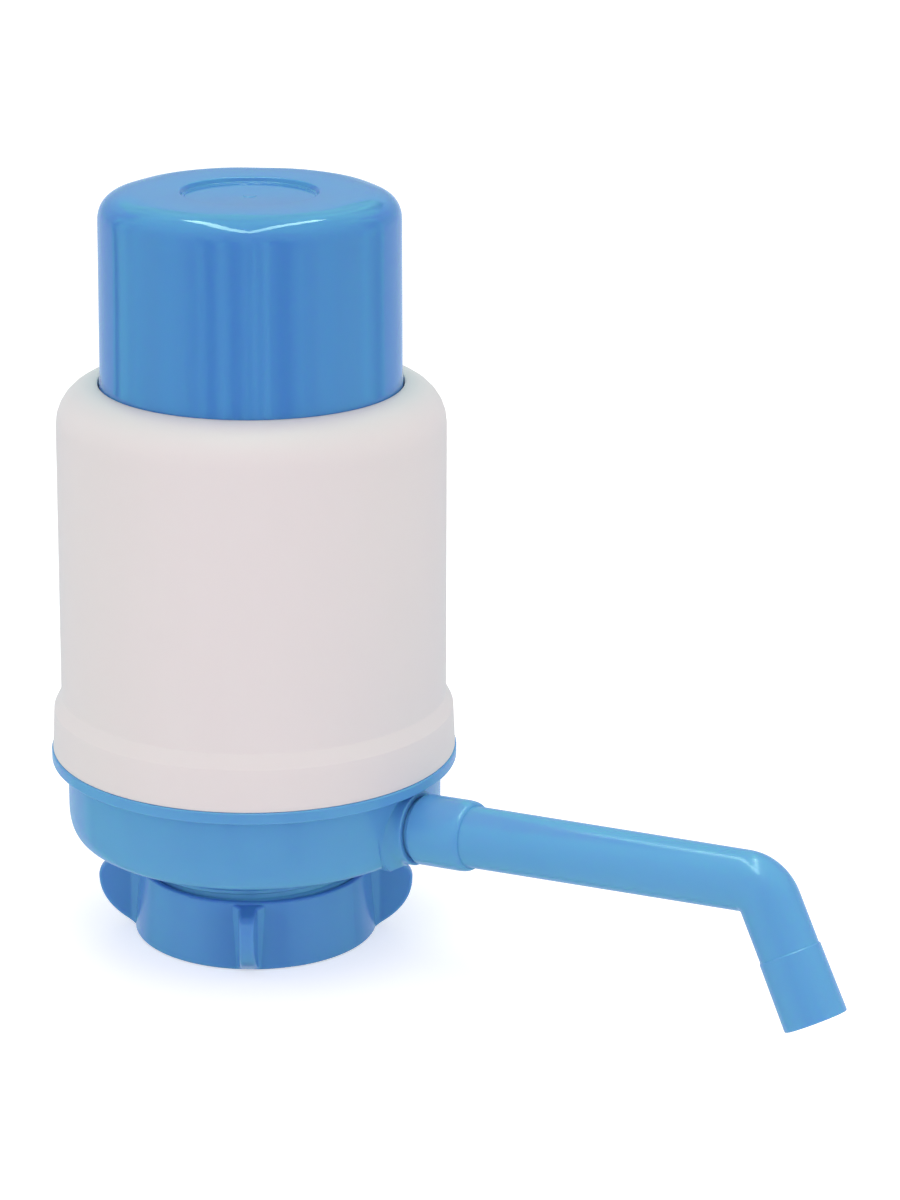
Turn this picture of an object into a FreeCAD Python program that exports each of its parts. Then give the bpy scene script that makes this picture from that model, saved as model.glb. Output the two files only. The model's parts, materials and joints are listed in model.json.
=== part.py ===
"""Hand pump for a water jug: press cap, bellows, housing, base bowl, neck clamp and spout.

Millimetres, +Z up. The origin is the centre of the neck opening at the foot of the wing nut,
on the plane that the pump stands on. The spout leaves along +X and rises a little.
"""
import FreeCAD, Part
import math
import os
from FreeCAD import Placement, Rotation, Vector

# ---------------------------------------------------------------- heights
BOWL_BOTTOM_Z = 28.95          # underside of the base bowl above the foot of the nut
BOWL_DEPTH = 21.25             # bowl wall, from its underside to the flange
FLANGE_THICKNESS = 3.25        # blue flange that the housing stands on
BAND_HEIGHT = 11.5             # foot band of the housing
BAND_CHAMFER_HEIGHT = 3.95     # slope between the band and the wall above it
HOUSING_HEIGHT = 101.45        # housing, from the flange to its top opening
CAP_RISE = 50.85               # cap above the housing when it is up

# ---------------------------------------------------------------- press cap
CAP_FOOT_R = 40.0
CAP_DRAFT = 0.3                # the wall leans in by this much from foot to top
CAP_WALL = 2.0
CAP_TOP_THICKNESS = 2.2
CAP_CORNER = (10.0, 7.5)       # across and down: the soft upper corner
CAP_RIM_CATCH = 2.9            # how far the rim reaches under the housing's shoulder
CAP_RIM_THICKNESS = 2.5
CAP_STOP_GAP = 0.9             # rim to the shoulder's inner face when the cap is up
CAP_VENT_COUNT = 4
CAP_VENT_WIDTH = 7.0
CAP_VENT_HEIGHT = 1.2
CAP_RIB_COUNT = 6
CAP_RIB_THICKNESS = 1.5
CAP_RIB_DEPTH = 7.0
DISH_RIM_R = 20.4              # thumb dish in the cap's top
DISH_SLOPE = 3.0
DISH_DEPTH = 1.6

# ---------------------------------------------------------------- housing
OPENING_CLEARANCE = 0.5        # between the cap's wall and the housing's opening
SHOULDER_ROUND = 11.05
SHOULDER_FLAT = 0.2            # from the opening's edge to the start of the round
HOUSING_DRAFT = 0.4
HOUSING_WALL = 2.0
BAND_STEP = 2.0                # how far the foot band stands out from the wall
BAND_DRAFT = 0.55
GUIDE_RIB_COUNT = 6
GUIDE_RIB_THICKNESS = 1.8
GUIDE_CLEARANCE = 0.4          # between the guide ribs and the cap's rim
GUIDE_FOOT_GAP = 1.0           # guide ribs above the screw heads

# ---------------------------------------------------------------- base bowl
FLANGE_LIP = 0.4               # flange beyond the foot band
FLANGE_OVERHANG = 4.3          # flange beyond the bowl's wall
BOWL_WALL = 2.2
BOWL_FLOOR = 2.6
BOWL_CORNER = (4.6, 8.4)       # across and up: the soft lower corner
SPIGOT_GAP = 0.3               # between the housing's band and the spigot ring inside it
SPIGOT_TOP_GAP = 0.5
SPIGOT_WALL = 2.3
SNAP_BEAD = 0.45               # bead on the spigot ring that snaps into the housing
SNAP_BEAD_HEIGHT = 2.4
SNAP_GROOVE_GAP = 0.25
LEDGE_DEPTH = 7.4              # from the spigot's top down to the deck's ledge
AIR_HOLE_R = 2.6
AIR_HOLE_CIRCLE_R = 16.0
AIR_HOLE_PLACES = 6            # the place under the water channel stays closed

# ---------------------------------------------------------------- deck, bellows and valves
DECK_CLEARANCE = 0.3
DECK_THICKNESS = 3.0
GASKET_THICKNESS = 1.5
GASKET_WIDTH = 5.6
BELLOWS_INSET = 1.4            # folds inside the cap's rim
BELLOWS_FOLD_DEPTH = 7.2
BELLOWS_WALL = 1.3
BELLOWS_FOLDS = 8
BELLOWS_FOOT_THICKNESS = 1.6
BELLOWS_CUFF_HEIGHT = 7.0
RING_THICKNESS = 2.6
RING_WIDTH = 5.6
SCREW_COUNT = 6
SCREW_R = 1.45
SCREW_HEAD_R = 2.6
SCREW_HEAD_HEIGHT = 1.9
SCREW_BITE = 6.3               # how deep a screw goes into its post
SCREW_HOLE_GAP = 0.2
SCREW_POST_R = 3.3
PILOT_OVERRUN = 1.0
HEAD_THICKNESS = 3.0
HEAD_RIM_GAP = 0.4             # head plate inside the cap's rim
HEAD_SPIGOT_WALL = 2.0
CUFF_INSET = 0.2               # cuff inside the folds' roots
CUFF_GAP = 0.3                 # between the bellows' cuff and the pieces of the head
LOCATOR_HEIGHT = 3.0
LOCATOR_GAP = 0.3
COLLAR_WALL = 2.3
COLLAR_HEIGHT = 5.0
VALVE_R = 9.5
VALVE_LIP = 0.8
VALVE_THICKNESS = 1.8
VALVE_STEM_R = 1.9
VALVE_STEM_GAP = 0.1
VALVE_BULB_R = 2.9
VALVE_PORT_COUNT = 6
VALVE_PORT_R = 1.5
VALVE_PORT_CIRCLE_R = 5.6

# ---------------------------------------------------------------- neck clamp
NECK_R = 27.5                  # the jug's neck, which every bore here lets through
NECK_CLEARANCE = 0.5
SKIRT_WALL = 1.6
SKIRT_LENGTH = 16.95
THREAD_GAP = 1.0               # from the skirt's wall to the nut's bore, which the thread fills
NUT_TOP_GAP = 10.05            # open gap under the bowl, which the nut's travel needs
NUT_WALL = 1.4                 # at the nut's top
NUT_DRAFT = 1.4
NUT_LIP = 2.4
NUT_EDGE = 0.6
SEAL_GAP = 0.3
SEAL_WALL = 2.0
SLIP_RING_THICKNESS = 1.5
RIM_GASKET_THICKNESS = 2.0
RIM_GASKET_WIDTH = 6.5
WING_COUNT = 4
WING_TURN = 31.8               # where the first wing stands, in degrees from the spout
WING_REACH = 10.0
WING_FOOT_Z = 0.3
WING_ROOT_THICKNESS = 5.0
WING_TIP_THICKNESS = 3.7
WING_BELLY = 0.3               # share of the wing's height where its belly bulges most
WING_BELLY_INSET = 0.4         # the belly inside the wing's tip
WING_BELLY_EASE = 0.95         # share of the straight runs beside it that the belly's curve takes
WING_CORNER = 4.2              # round outer corner at the wing's top
WING_FLARE = 1.8               # how the wing's root widens into the nut
WING_EDGE = 0.9                # rounding all along the wing's outline

# ---------------------------------------------------------------- spout and its boss
SPOUT_HEIGHT = 6.65            # spout's axis above the bowl's underside, at the pump's axis
SPOUT_RISE = 4.16              # degrees
SPOUT_TURN = -7.27             # degrees about its own axis, as it rests
SPOUT_BEND = 64.3              # degrees
SPOUT_LENGTH = 102.93          # boss rim to the elbow
SPOUT_DROP = 37.0              # elbow to the outlet
SPOUT_ROOT_R = 8.2
SPOUT_TAPER = 0.32             # from the sleeve to the elbow
SPOUT_BORE_R = 5.8
ELBOW_INNER_R = 0.15           # nearly sharp inside corner
OUTLET_STEP_AT = 18.4          # elbow to the step where the outlet sleeve starts
OUTLET_STEP = 0.3
OUTLET_FLARE = 0.19
OUTLET_EDGE = 0.4
SLEEVE_R = 9.5
SLEEVE_LENGTH = 15.86
SLEEVE_SHOULDER = 3.6
SLEEVE_EDGE = 0.7
BOSS_STAND = 3.24              # boss rim beyond the bowl's wall
BOSS_LIP = 0.5                 # boss rim beyond the sleeve
BOSS_FLARE = 3.2
BOSS_LAND = 1.6                # plain part of the boss next to its rim
BOSS_EDGE = 0.4
BOSS_GAP = 1.2                 # open gap between the boss rim and the sleeve
PLUG_R = 6.8
PLUG_GAP = 0.15
PLUG_DEPTH = 17.0              # how far the spout's plug goes in from the boss rim
PLUG_BORE_R = 4.6
PLUG_EDGE = 0.4
PLUG_SHAFT_INSET = 1.2         # shaft in the gap, inside the sleeve's radius
PLUG_SHAFT_DEPTH = 1.0
O_RING_R = 0.8                 # radius of the rubber's section
O_RING_GAP = 0.05
O_RING_SPACING = 4.6
SNAP_RING_RISE = 0.35
SNAP_RING_WIDTH = 1.8
CHANNEL_R = 5.0
CHANNEL_WALL = 2.4
SOCKET_R = 6.1                 # dip tube socket
SOCKET_DEPTH = 18.0
SOCKET_WALL = 2.2
SOCKET_SHOULDER = 1.05         # the tube's stop, above the bowl's underside

# ---------------------------------------------------------------- sizes that follow
FLANGE_BOTTOM_Z = BOWL_BOTTOM_Z + BOWL_DEPTH
FLANGE_TOP_Z = FLANGE_BOTTOM_Z + FLANGE_THICKNESS
HOUSING_TOP_Z = FLANGE_TOP_Z + HOUSING_HEIGHT
BAND_TOP_Z = FLANGE_TOP_Z + BAND_HEIGHT
CAP_TOP_Z = HOUSING_TOP_Z + CAP_RISE
CAP_RIM_TOP_Z = HOUSING_TOP_Z - HOUSING_WALL - CAP_STOP_GAP
CAP_RIM_BOTTOM_Z = CAP_RIM_TOP_Z - CAP_RIM_THICKNESS
CAP_TOP_R = CAP_FOOT_R - CAP_DRAFT
CAP_BORE_R = CAP_TOP_R - CAP_WALL
OPENING_R = CAP_FOOT_R + OPENING_CLEARANCE
CAP_RIM_R = OPENING_R + CAP_RIM_CATCH
HOUSING_TOP_R = OPENING_R + SHOULDER_FLAT + SHOULDER_ROUND
HOUSING_FOOT_R = HOUSING_TOP_R + HOUSING_DRAFT
BAND_TOP_R = HOUSING_FOOT_R + BAND_STEP
BAND_FOOT_R = BAND_TOP_R + BAND_DRAFT
BAND_BORE_R = BAND_TOP_R - HOUSING_WALL
FLANGE_R = BAND_FOOT_R + FLANGE_LIP
BOWL_R = FLANGE_R - FLANGE_OVERHANG
SPIGOT_HEIGHT = BAND_HEIGHT - HOUSING_WALL - SPIGOT_TOP_GAP
SPIGOT_TOP_Z = FLANGE_TOP_Z + SPIGOT_HEIGHT
SPIGOT_R = BAND_BORE_R - SPIGOT_GAP
SNAP_Z = FLANGE_TOP_Z + SPIGOT_HEIGHT / 2
SEAT_R = SPIGOT_R - SPIGOT_WALL
LEDGE_Z = SPIGOT_TOP_Z - LEDGE_DEPTH
DECK_R = SEAT_R - DECK_CLEARANCE
DECK_BOTTOM_Z = LEDGE_Z + GASKET_THICKNESS
DECK_TOP_Z = DECK_BOTTOM_Z + DECK_THICKNESS
RING_BOTTOM_Z = DECK_TOP_Z + BELLOWS_FOOT_THICKNESS
RING_TOP_Z = RING_BOTTOM_Z + RING_THICKNESS
SCREW_CIRCLE_R = DECK_R - RING_WIDTH / 2
SCREW_TIP_Z = LEDGE_Z - SCREW_BITE
HEAD_TOP_Z = CAP_RIM_BOTTOM_Z
HEAD_BOTTOM_Z = HEAD_TOP_Z - HEAD_THICKNESS
HEAD_R = CAP_RIM_R - HEAD_RIM_GAP
BELLOWS_OUTER_R = CAP_RIM_R - BELLOWS_INSET
BELLOWS_INNER_R = BELLOWS_OUTER_R - BELLOWS_FOLD_DEPTH
CUFF_OUTER_R = BELLOWS_INNER_R - CUFF_INSET
CUFF_INNER_R = CUFF_OUTER_R - BELLOWS_WALL
CUFF_BOTTOM_Z = HEAD_BOTTOM_Z - BELLOWS_CUFF_HEIGHT
HEAD_SPIGOT_R = CUFF_INNER_R - CUFF_GAP
NUT_HEIGHT = BOWL_BOTTOM_Z - NUT_TOP_GAP
SKIRT_FOOT_Z = BOWL_BOTTOM_Z - SKIRT_LENGTH
NECK_BORE_R = NECK_R + NECK_CLEARANCE
SKIRT_R = NECK_BORE_R + SKIRT_WALL
NUT_BORE_R = SKIRT_R + THREAD_GAP
NUT_TOP_R = NUT_BORE_R + NUT_WALL
NUT_FOOT_R = NUT_TOP_R + NUT_DRAFT
SEAL_BOTTOM_Z = NUT_LIP + SLIP_RING_THICKNESS
SEAL_R = NECK_BORE_R + SEAL_WALL
CHAMBER_R = SEAL_R + SEAL_GAP
WING_TIP_R = NUT_FOOT_R + WING_REACH
WING_TOP_Z = NUT_HEIGHT - NUT_EDGE
WING_BELLY_Z = WING_FOOT_Z + (WING_TOP_Z - WING_FOOT_Z) * WING_BELLY
WING_BELLY_R = WING_TIP_R - WING_BELLY_INSET
SPOUT_AXIS_Z = BOWL_BOTTOM_Z + SPOUT_HEIGHT
BOSS_RIM_AT = BOWL_R + BOSS_STAND
BOSS_RIM_R = SLEEVE_R + BOSS_LIP
SPOUT_REACH = BOSS_RIM_AT + SPOUT_LENGTH
SPOUT_ELBOW_R = SPOUT_ROOT_R - SPOUT_TAPER
SLEEVE_START = BOSS_RIM_AT + BOSS_GAP
SLEEVE_END = SLEEVE_START + SLEEVE_LENGTH
PLUG_SHAFT_R = SLEEVE_R - PLUG_SHAFT_INSET
PLUG_SOCKET_R = PLUG_R + PLUG_GAP
PLUG_END = BOSS_RIM_AT - PLUG_DEPTH
SNAP_RING_AT = PLUG_END + SNAP_RING_WIDTH
SOCKET_TOP_Z = BOWL_BOTTOM_Z + SOCKET_SHOULDER
SOCKET_FOOT_Z = SOCKET_TOP_Z - SOCKET_DEPTH
SPOUT_FRAME = Placement(Vector(0, 0, SPOUT_AXIS_Z), Rotation(Vector(0, 1, 0), -SPOUT_RISE))
SPOUT_REST = SPOUT_FRAME.multiply(Placement(Vector(), Rotation(Vector(1, 0, 0), SPOUT_TURN)))


# ---------------------------------------------------------------- drawing helpers
def outline(corners):
    """Face in the XZ plane. A corner is (x, z), (x, z, radius) or (x, z, (reach in, reach out))."""
    count = len(corners)
    starts, ends, curves = [], [], []
    for index, corner in enumerate(corners):
        here = Vector(corner[0], 0, corner[1])
        size = corner[2] if len(corner) > 2 else 0
        if not size:
            starts.append(here)
            ends.append(here)
            curves.append(None)
            continue
        before = Vector(corners[index - 1][0], 0, corners[index - 1][1]) - here
        after_corner = corners[(index + 1) % count]
        after = Vector(after_corner[0], 0, after_corner[1]) - here
        if isinstance(size, tuple):
            first = here + before.normalize() * size[0]
            last = here + after.normalize() * size[1]
            curve = Part.BezierCurve()
            curve.setPoles([first, here, last])
            curves.append(curve.toShape())
        else:
            half = before.getAngle(after) / 2
            reach = size / math.tan(half)
            first = here + before.normalize() * reach
            last = here + after.normalize() * reach
            middle = (before + after).normalize() * (size / math.sin(half) - size)
            curves.append(Part.Arc(first, here + middle, last).toShape())
        starts.append(first)
        ends.append(last)
    edges = []
    for index in range(count):
        if curves[index] is not None:
            edges.append(curves[index])
        following = starts[(index + 1) % count]
        if ends[index].distanceToPoint(following) > 1e-6:
            edges.append(Part.makeLine(ends[index], following))
    return Part.Face(Part.Wire(edges))


def turned(corners):
    """Solid turned about Z from a half outline."""
    return outline(corners).revolve(Vector(), Vector(0, 0, 1), 360)


def turned_on_spout(stations, place):
    """Solid turned about the spout's axis from (distance along it, radius) corners."""
    half = outline([(s[0], s[1]) + tuple(s[2:]) for s in stations])
    solid = half.revolve(Vector(), Vector(1, 0, 0), 360)
    solid.Placement = place.multiply(solid.Placement)
    return solid


def ring(inner, outer, bottom, top):
    """Plain ring about Z."""
    solid = Part.makeCylinder(outer, top - bottom, Vector(0, 0, bottom))
    if inner > 0:
        solid = solid.cut(Part.makeCylinder(inner, top - bottom, Vector(0, 0, bottom)))
    return solid


def around(solid, count, first=0.0):
    """Copies of a solid spread evenly about Z."""
    copies = []
    for index in range(count):
        copy = solid.copy()
        copy.rotate(Vector(), Vector(0, 0, 1), first + index * 360.0 / count)
        copies.append(copy)
    return copies


def post(radius, circle_r, bottom, top):
    """Upright cylinder standing at circle_r on the X axis."""
    return Part.makeCylinder(radius, top - bottom, Vector(circle_r, 0, bottom))


def screw_holes(bottom, top):
    """Clearance holes for the ring of screws."""
    hole = post(SCREW_R + SCREW_HOLE_GAP, SCREW_CIRCLE_R, bottom, top)
    return around(hole, SCREW_COUNT, 180.0 / SCREW_COUNT)


# ---------------------------------------------------------------- housing and cap
def housing_shell():
    """White shell: foot band, long wall, rounded shoulder and the opening for the cap."""
    top, foot, wall = HOUSING_TOP_Z, FLANGE_TOP_Z, HOUSING_WALL
    groove_half = SNAP_BEAD_HEIGHT / 2 + SNAP_GROOVE_GAP
    groove_r = BAND_BORE_R + SNAP_BEAD + SNAP_GROOVE_GAP
    shell = turned([
        (OPENING_R, top),
        (HOUSING_TOP_R, top, SHOULDER_ROUND),
        (HOUSING_FOOT_R, BAND_TOP_Z + BAND_CHAMFER_HEIGHT, 0.8),
        (BAND_TOP_R, BAND_TOP_Z, 0.8),
        (BAND_FOOT_R, foot),
        (BAND_BORE_R, foot),
        (BAND_BORE_R, SNAP_Z - groove_half),
        (groove_r, SNAP_Z),
        (BAND_BORE_R, SNAP_Z + groove_half),
        (BAND_BORE_R, BAND_TOP_Z - wall),
        (HOUSING_FOOT_R - wall, BAND_TOP_Z - wall + BAND_CHAMFER_HEIGHT),
        (HOUSING_TOP_R - wall, top - wall, SHOULDER_ROUND - wall),
        (OPENING_R, top - wall),
    ])
    rib_foot = RING_TOP_Z + SCREW_HEAD_HEIGHT + GUIDE_FOOT_GAP
    rib_inner = CAP_RIM_R + GUIDE_CLEARANCE
    rib_top = top - SHOULDER_ROUND
    rib_reach = HOUSING_TOP_R - wall / 2 - rib_inner
    rib = Part.makeBox(rib_reach, GUIDE_RIB_THICKNESS, rib_top - rib_foot,
                       Vector(rib_inner, -GUIDE_RIB_THICKNESS / 2, rib_foot))
    return shell.fuse(around(rib, GUIDE_RIB_COUNT)).removeSplitter()


def press_cap():
    """Blue cap: drawn wall, rounded top corner, thumb dish, rim and stiffening ribs."""
    top, bottom = CAP_TOP_Z, CAP_RIM_BOTTOM_Z
    under = top - CAP_TOP_THICKNESS
    across, down = CAP_CORNER
    shell = turned([
        (0, top - DISH_DEPTH),
        (DISH_RIM_R - DISH_SLOPE, top - DISH_DEPTH, DISH_DEPTH),
        (DISH_RIM_R, top, DISH_DEPTH / 2),
        (CAP_TOP_R, top, CAP_CORNER),
        (CAP_FOOT_R, HOUSING_TOP_Z),
        (CAP_FOOT_R, CAP_RIM_TOP_Z),
        (CAP_RIM_R, CAP_RIM_TOP_Z, CAP_RIM_THICKNESS / 4),
        (CAP_RIM_R, bottom),
        (CAP_BORE_R, bottom),
        (CAP_BORE_R, under, (down - CAP_WALL, across - CAP_WALL)),
        (DISH_RIM_R + CAP_WALL, under),
        (DISH_RIM_R, under - DISH_DEPTH),
        (0, under - DISH_DEPTH),
    ])
    rib_inner = DISH_RIM_R + CAP_WALL / 2
    rib_outer = CAP_BORE_R + CAP_WALL / 2
    rib = outline([
        (rib_inner, under - CAP_RIB_DEPTH),
        (rib_outer, under - CAP_RIB_DEPTH),
        (rib_outer, under - down / 2),
        (rib_outer - across / 2, under + CAP_TOP_THICKNESS / 2),
        (rib_inner, under + CAP_TOP_THICKNESS / 2),
    ]).extrude(Vector(0, CAP_RIB_THICKNESS, 0))
    rib.translate(Vector(0, -CAP_RIB_THICKNESS / 2, 0))
    vent = Part.makeBox(CAP_RIM_R, CAP_VENT_WIDTH, CAP_VENT_HEIGHT,
                        Vector(CAP_BORE_R - CAP_WALL, -CAP_VENT_WIDTH / 2, bottom))
    solid = shell.fuse(around(rib, CAP_RIB_COUNT))
    return solid.cut(around(vent, CAP_VENT_COUNT, 180.0 / CAP_VENT_COUNT)).removeSplitter()


# ---------------------------------------------------------------- bellows and valves
def umbrella_valve(seat_z, plate_thickness):
    """Rubber umbrella valve that hangs under a plate; its stem goes up through the plate."""
    top = seat_z + plate_thickness
    return turned([
        (0, seat_z - VALVE_THICKNESS),
        (VALVE_STEM_R * 2, seat_z - VALVE_THICKNESS),
        (VALVE_R, seat_z - VALVE_LIP),
        (VALVE_R, seat_z),
        (VALVE_STEM_R, seat_z),
        (VALVE_STEM_R, top),
        (VALVE_BULB_R, top),
        (VALVE_STEM_R, top + VALVE_BULB_R),
        (0, top + VALVE_BULB_R),
    ])


def valve_ports(bottom, top):
    """Stem hole and ring of ports that one umbrella valve covers."""
    stem = ring(0, VALVE_STEM_R + VALVE_STEM_GAP, bottom, top)
    port = post(VALVE_PORT_R, VALVE_PORT_CIRCLE_R, bottom, top)
    return [stem] + around(port, VALVE_PORT_COUNT)


def bellows_head():
    """Plate that closes the bellows and carries the cap; the inlet valve sits in it."""
    plate = ring(0, HEAD_R, HEAD_BOTTOM_Z, HEAD_TOP_Z)
    spigot = ring(HEAD_SPIGOT_R - HEAD_SPIGOT_WALL, HEAD_SPIGOT_R, CUFF_BOTTOM_Z, HEAD_BOTTOM_Z)
    locator_r = CAP_BORE_R - LOCATOR_GAP
    locator = ring(locator_r - CAP_WALL, locator_r, HEAD_TOP_Z, HEAD_TOP_Z + LOCATOR_HEIGHT)
    gap = Part.makeBox(CAP_RIM_R, CAP_VENT_WIDTH, LOCATOR_HEIGHT,
                       Vector(0, -CAP_VENT_WIDTH / 2, HEAD_TOP_Z))
    locator = locator.cut(around(gap, CAP_VENT_COUNT, 180.0 / CAP_VENT_COUNT))
    solid = plate.fuse([spigot, locator])
    return solid.cut(valve_ports(HEAD_BOTTOM_Z, HEAD_TOP_Z)).removeSplitter()


def bellows_collar():
    """Band that holds the bellows' cuff; it seats on the underside of the head."""
    inner = CUFF_OUTER_R + CUFF_GAP
    return ring(inner, inner + COLLAR_WALL, HEAD_BOTTOM_Z - COLLAR_HEIGHT, HEAD_BOTTOM_Z)


def bellows():
    """Folded wall with a flat foot that the ring clamps and a cuff for the head."""
    foot_top = RING_BOTTOM_Z
    pitch = (CUFF_BOTTOM_Z - foot_top) / BELLOWS_FOLDS
    slant = math.hypot(BELLOWS_FOLD_DEPTH, pitch / 2) / (pitch / 2)
    across = BELLOWS_WALL * slant
    neck_r = BELLOWS_INNER_R - BELLOWS_WALL
    outside = [(DECK_R, DECK_TOP_Z), (DECK_R, foot_top), (BELLOWS_INNER_R, foot_top)]
    inside = [(neck_r, DECK_TOP_Z), (neck_r, foot_top)]
    for fold in range(BELLOWS_FOLDS):
        crest_z = foot_top + (fold + 0.5) * pitch
        outside.append((BELLOWS_OUTER_R, crest_z))
        inside.append((BELLOWS_OUTER_R - across, crest_z))
        if fold < BELLOWS_FOLDS - 1:
            root_z = crest_z + pitch / 2
            outside.append((BELLOWS_INNER_R, root_z))
            inside.append((BELLOWS_INNER_R - across, root_z))
    outside += [(CUFF_OUTER_R, CUFF_BOTTOM_Z), (CUFF_OUTER_R, HEAD_BOTTOM_Z)]
    inside += [(CUFF_INNER_R, CUFF_BOTTOM_Z), (CUFF_INNER_R, HEAD_BOTTOM_Z)]
    wall = turned(outside + inside[::-1])
    return wall.cut(screw_holes(DECK_TOP_Z, foot_top)).removeSplitter()


def bellows_ring():
    """Ring that clamps the bellows' foot to the deck."""
    plain = ring(DECK_R - RING_WIDTH, DECK_R, RING_BOTTOM_Z, RING_TOP_Z)
    return plain.cut(screw_holes(RING_BOTTOM_Z, RING_TOP_Z))


def ring_screws():
    """Pan-head screws through ring, bellows' foot, deck and gasket into the bowl's posts."""
    head_top = RING_TOP_Z + SCREW_HEAD_HEIGHT
    screw = turned([
        (0, SCREW_TIP_Z),
        (SCREW_R, SCREW_TIP_Z + SCREW_R),
        (SCREW_R, RING_TOP_Z),
        (SCREW_HEAD_R, RING_TOP_Z),
        (SCREW_HEAD_R, head_top, SCREW_HEAD_HEIGHT / 2),
        (0, head_top),
    ])
    screw.translate(Vector(SCREW_CIRCLE_R, 0, 0))
    return Part.makeCompound(around(screw, SCREW_COUNT, 180.0 / SCREW_COUNT))


def deck_plate():
    """Deck between bellows and bowl; the outlet valve hangs under it."""
    plate = ring(0, DECK_R, DECK_BOTTOM_Z, DECK_TOP_Z)
    return plate.cut(screw_holes(DECK_BOTTOM_Z, DECK_TOP_Z) + valve_ports(DECK_BOTTOM_Z, DECK_TOP_Z))


def deck_gasket():
    """Flat rubber ring between the bowl's ledge and the deck."""
    plain = ring(DECK_R - GASKET_WIDTH, DECK_R, LEDGE_Z, DECK_BOTTOM_Z)
    return plain.cut(screw_holes(LEDGE_Z, DECK_BOTTOM_Z))


# ---------------------------------------------------------------- base bowl
def bowl_body():
    """Bowl with its flange, the spigot ring that holds the housing, and its open inside."""
    bead_half = SNAP_BEAD_HEIGHT / 2
    outer = turned([
        (0, BOWL_BOTTOM_Z),
        (BOWL_R, BOWL_BOTTOM_Z, BOWL_CORNER),
        (BOWL_R, FLANGE_BOTTOM_Z, FLANGE_THICKNESS / 5),
        (FLANGE_R, FLANGE_BOTTOM_Z, FLANGE_THICKNESS / 5),
        (FLANGE_R, FLANGE_TOP_Z, FLANGE_THICKNESS / 6),
        (SPIGOT_R, FLANGE_TOP_Z),
        (SPIGOT_R, SNAP_Z - bead_half),
        (SPIGOT_R + SNAP_BEAD, SNAP_Z),
        (SPIGOT_R, SNAP_Z + bead_half),
        (SPIGOT_R, SPIGOT_TOP_Z),
        (0, SPIGOT_TOP_Z),
    ])
    inner_r = BOWL_R - BOWL_WALL
    floor_z = BOWL_BOTTOM_Z + BOWL_FLOOR
    hollow = turned([
        (0, floor_z),
        (inner_r, floor_z, BOWL_CORNER),
        (inner_r, LEDGE_Z),
        (SEAT_R, LEDGE_Z),
        (SEAT_R, SPIGOT_TOP_Z),
        (0, SPIGOT_TOP_Z),
    ])
    return outer.fuse(spout_boss()).cut(hollow)


def spout_boss():
    """Short round boss that flares into the bowl's wall, trimmed at the bowl's underside."""
    root = BOWL_R - BOWL_CORNER[0] - BOWL_WALL
    flare_at = BOSS_RIM_AT - BOSS_LAND
    boss = turned_on_spout([
        (root, 0),
        (BOSS_RIM_AT, 0),
        (BOSS_RIM_AT, BOSS_RIM_R, BOSS_EDGE),
        (flare_at - BOSS_FLARE, BOSS_RIM_R, BOSS_FLARE * 0.9),
        (flare_at - BOSS_FLARE, BOSS_RIM_R + BOSS_FLARE),
        (root, BOSS_RIM_R + BOSS_FLARE),
    ], SPOUT_FRAME)
    return boss.common(ring(0, FLANGE_R * 2, BOWL_BOTTOM_Z, FLANGE_TOP_Z))


def water_channel():
    """Closed channel from the dip tube's hub to the boss; it thickens round the spout's plug."""
    radius = CHANNEL_R + CHANNEL_WALL
    plug_radius = PLUG_SOCKET_R + CHANNEL_WALL
    step = PLUG_END - PLUG_GAP - CHANNEL_WALL
    tube = turned_on_spout([
        (0, 0),
        (BOWL_R, 0),
        (BOWL_R, plug_radius),
        (step, plug_radius),
        (step - CHANNEL_WALL, radius),
        (0, radius),
    ], SPOUT_FRAME)
    return tube.common(ring(0, BOWL_R - BOWL_WALL / 2, BOWL_BOTTOM_Z, FLANGE_TOP_Z))


def channel_bores():
    """Water way: channel, the plug's socket with its snap groove, and the tube socket below."""
    gap = PLUG_GAP * 2
    mouth_r = PLUG_SHAFT_R + gap
    mouth_end = BOSS_RIM_AT - PLUG_SHAFT_DEPTH - gap
    groove_r = PLUG_SOCKET_R + SNAP_RING_RISE + PLUG_GAP
    way = turned_on_spout([
        (-CHANNEL_R, 0),
        (BOSS_RIM_AT + gap, 0),
        (BOSS_RIM_AT + gap, mouth_r),
        (mouth_end, mouth_r),
        (mouth_end, PLUG_SOCKET_R),
        (SNAP_RING_AT + SNAP_RING_WIDTH, PLUG_SOCKET_R),
        (SNAP_RING_AT + SNAP_RING_WIDTH / 2, groove_r),
        (SNAP_RING_AT - SNAP_RING_WIDTH / 2, groove_r),
        (PLUG_END, PLUG_SOCKET_R),
        (PLUG_END - gap, PLUG_SOCKET_R),
        (PLUG_END - gap, CHANNEL_R),
        (-CHANNEL_R, CHANNEL_R),
    ], SPOUT_FRAME)
    socket = ring(0, SOCKET_R, SOCKET_FOOT_Z, SOCKET_TOP_Z)
    riser = ring(0, CHANNEL_R, SOCKET_FOOT_Z, SPOUT_AXIS_Z)
    return [way, socket, riser]


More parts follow.
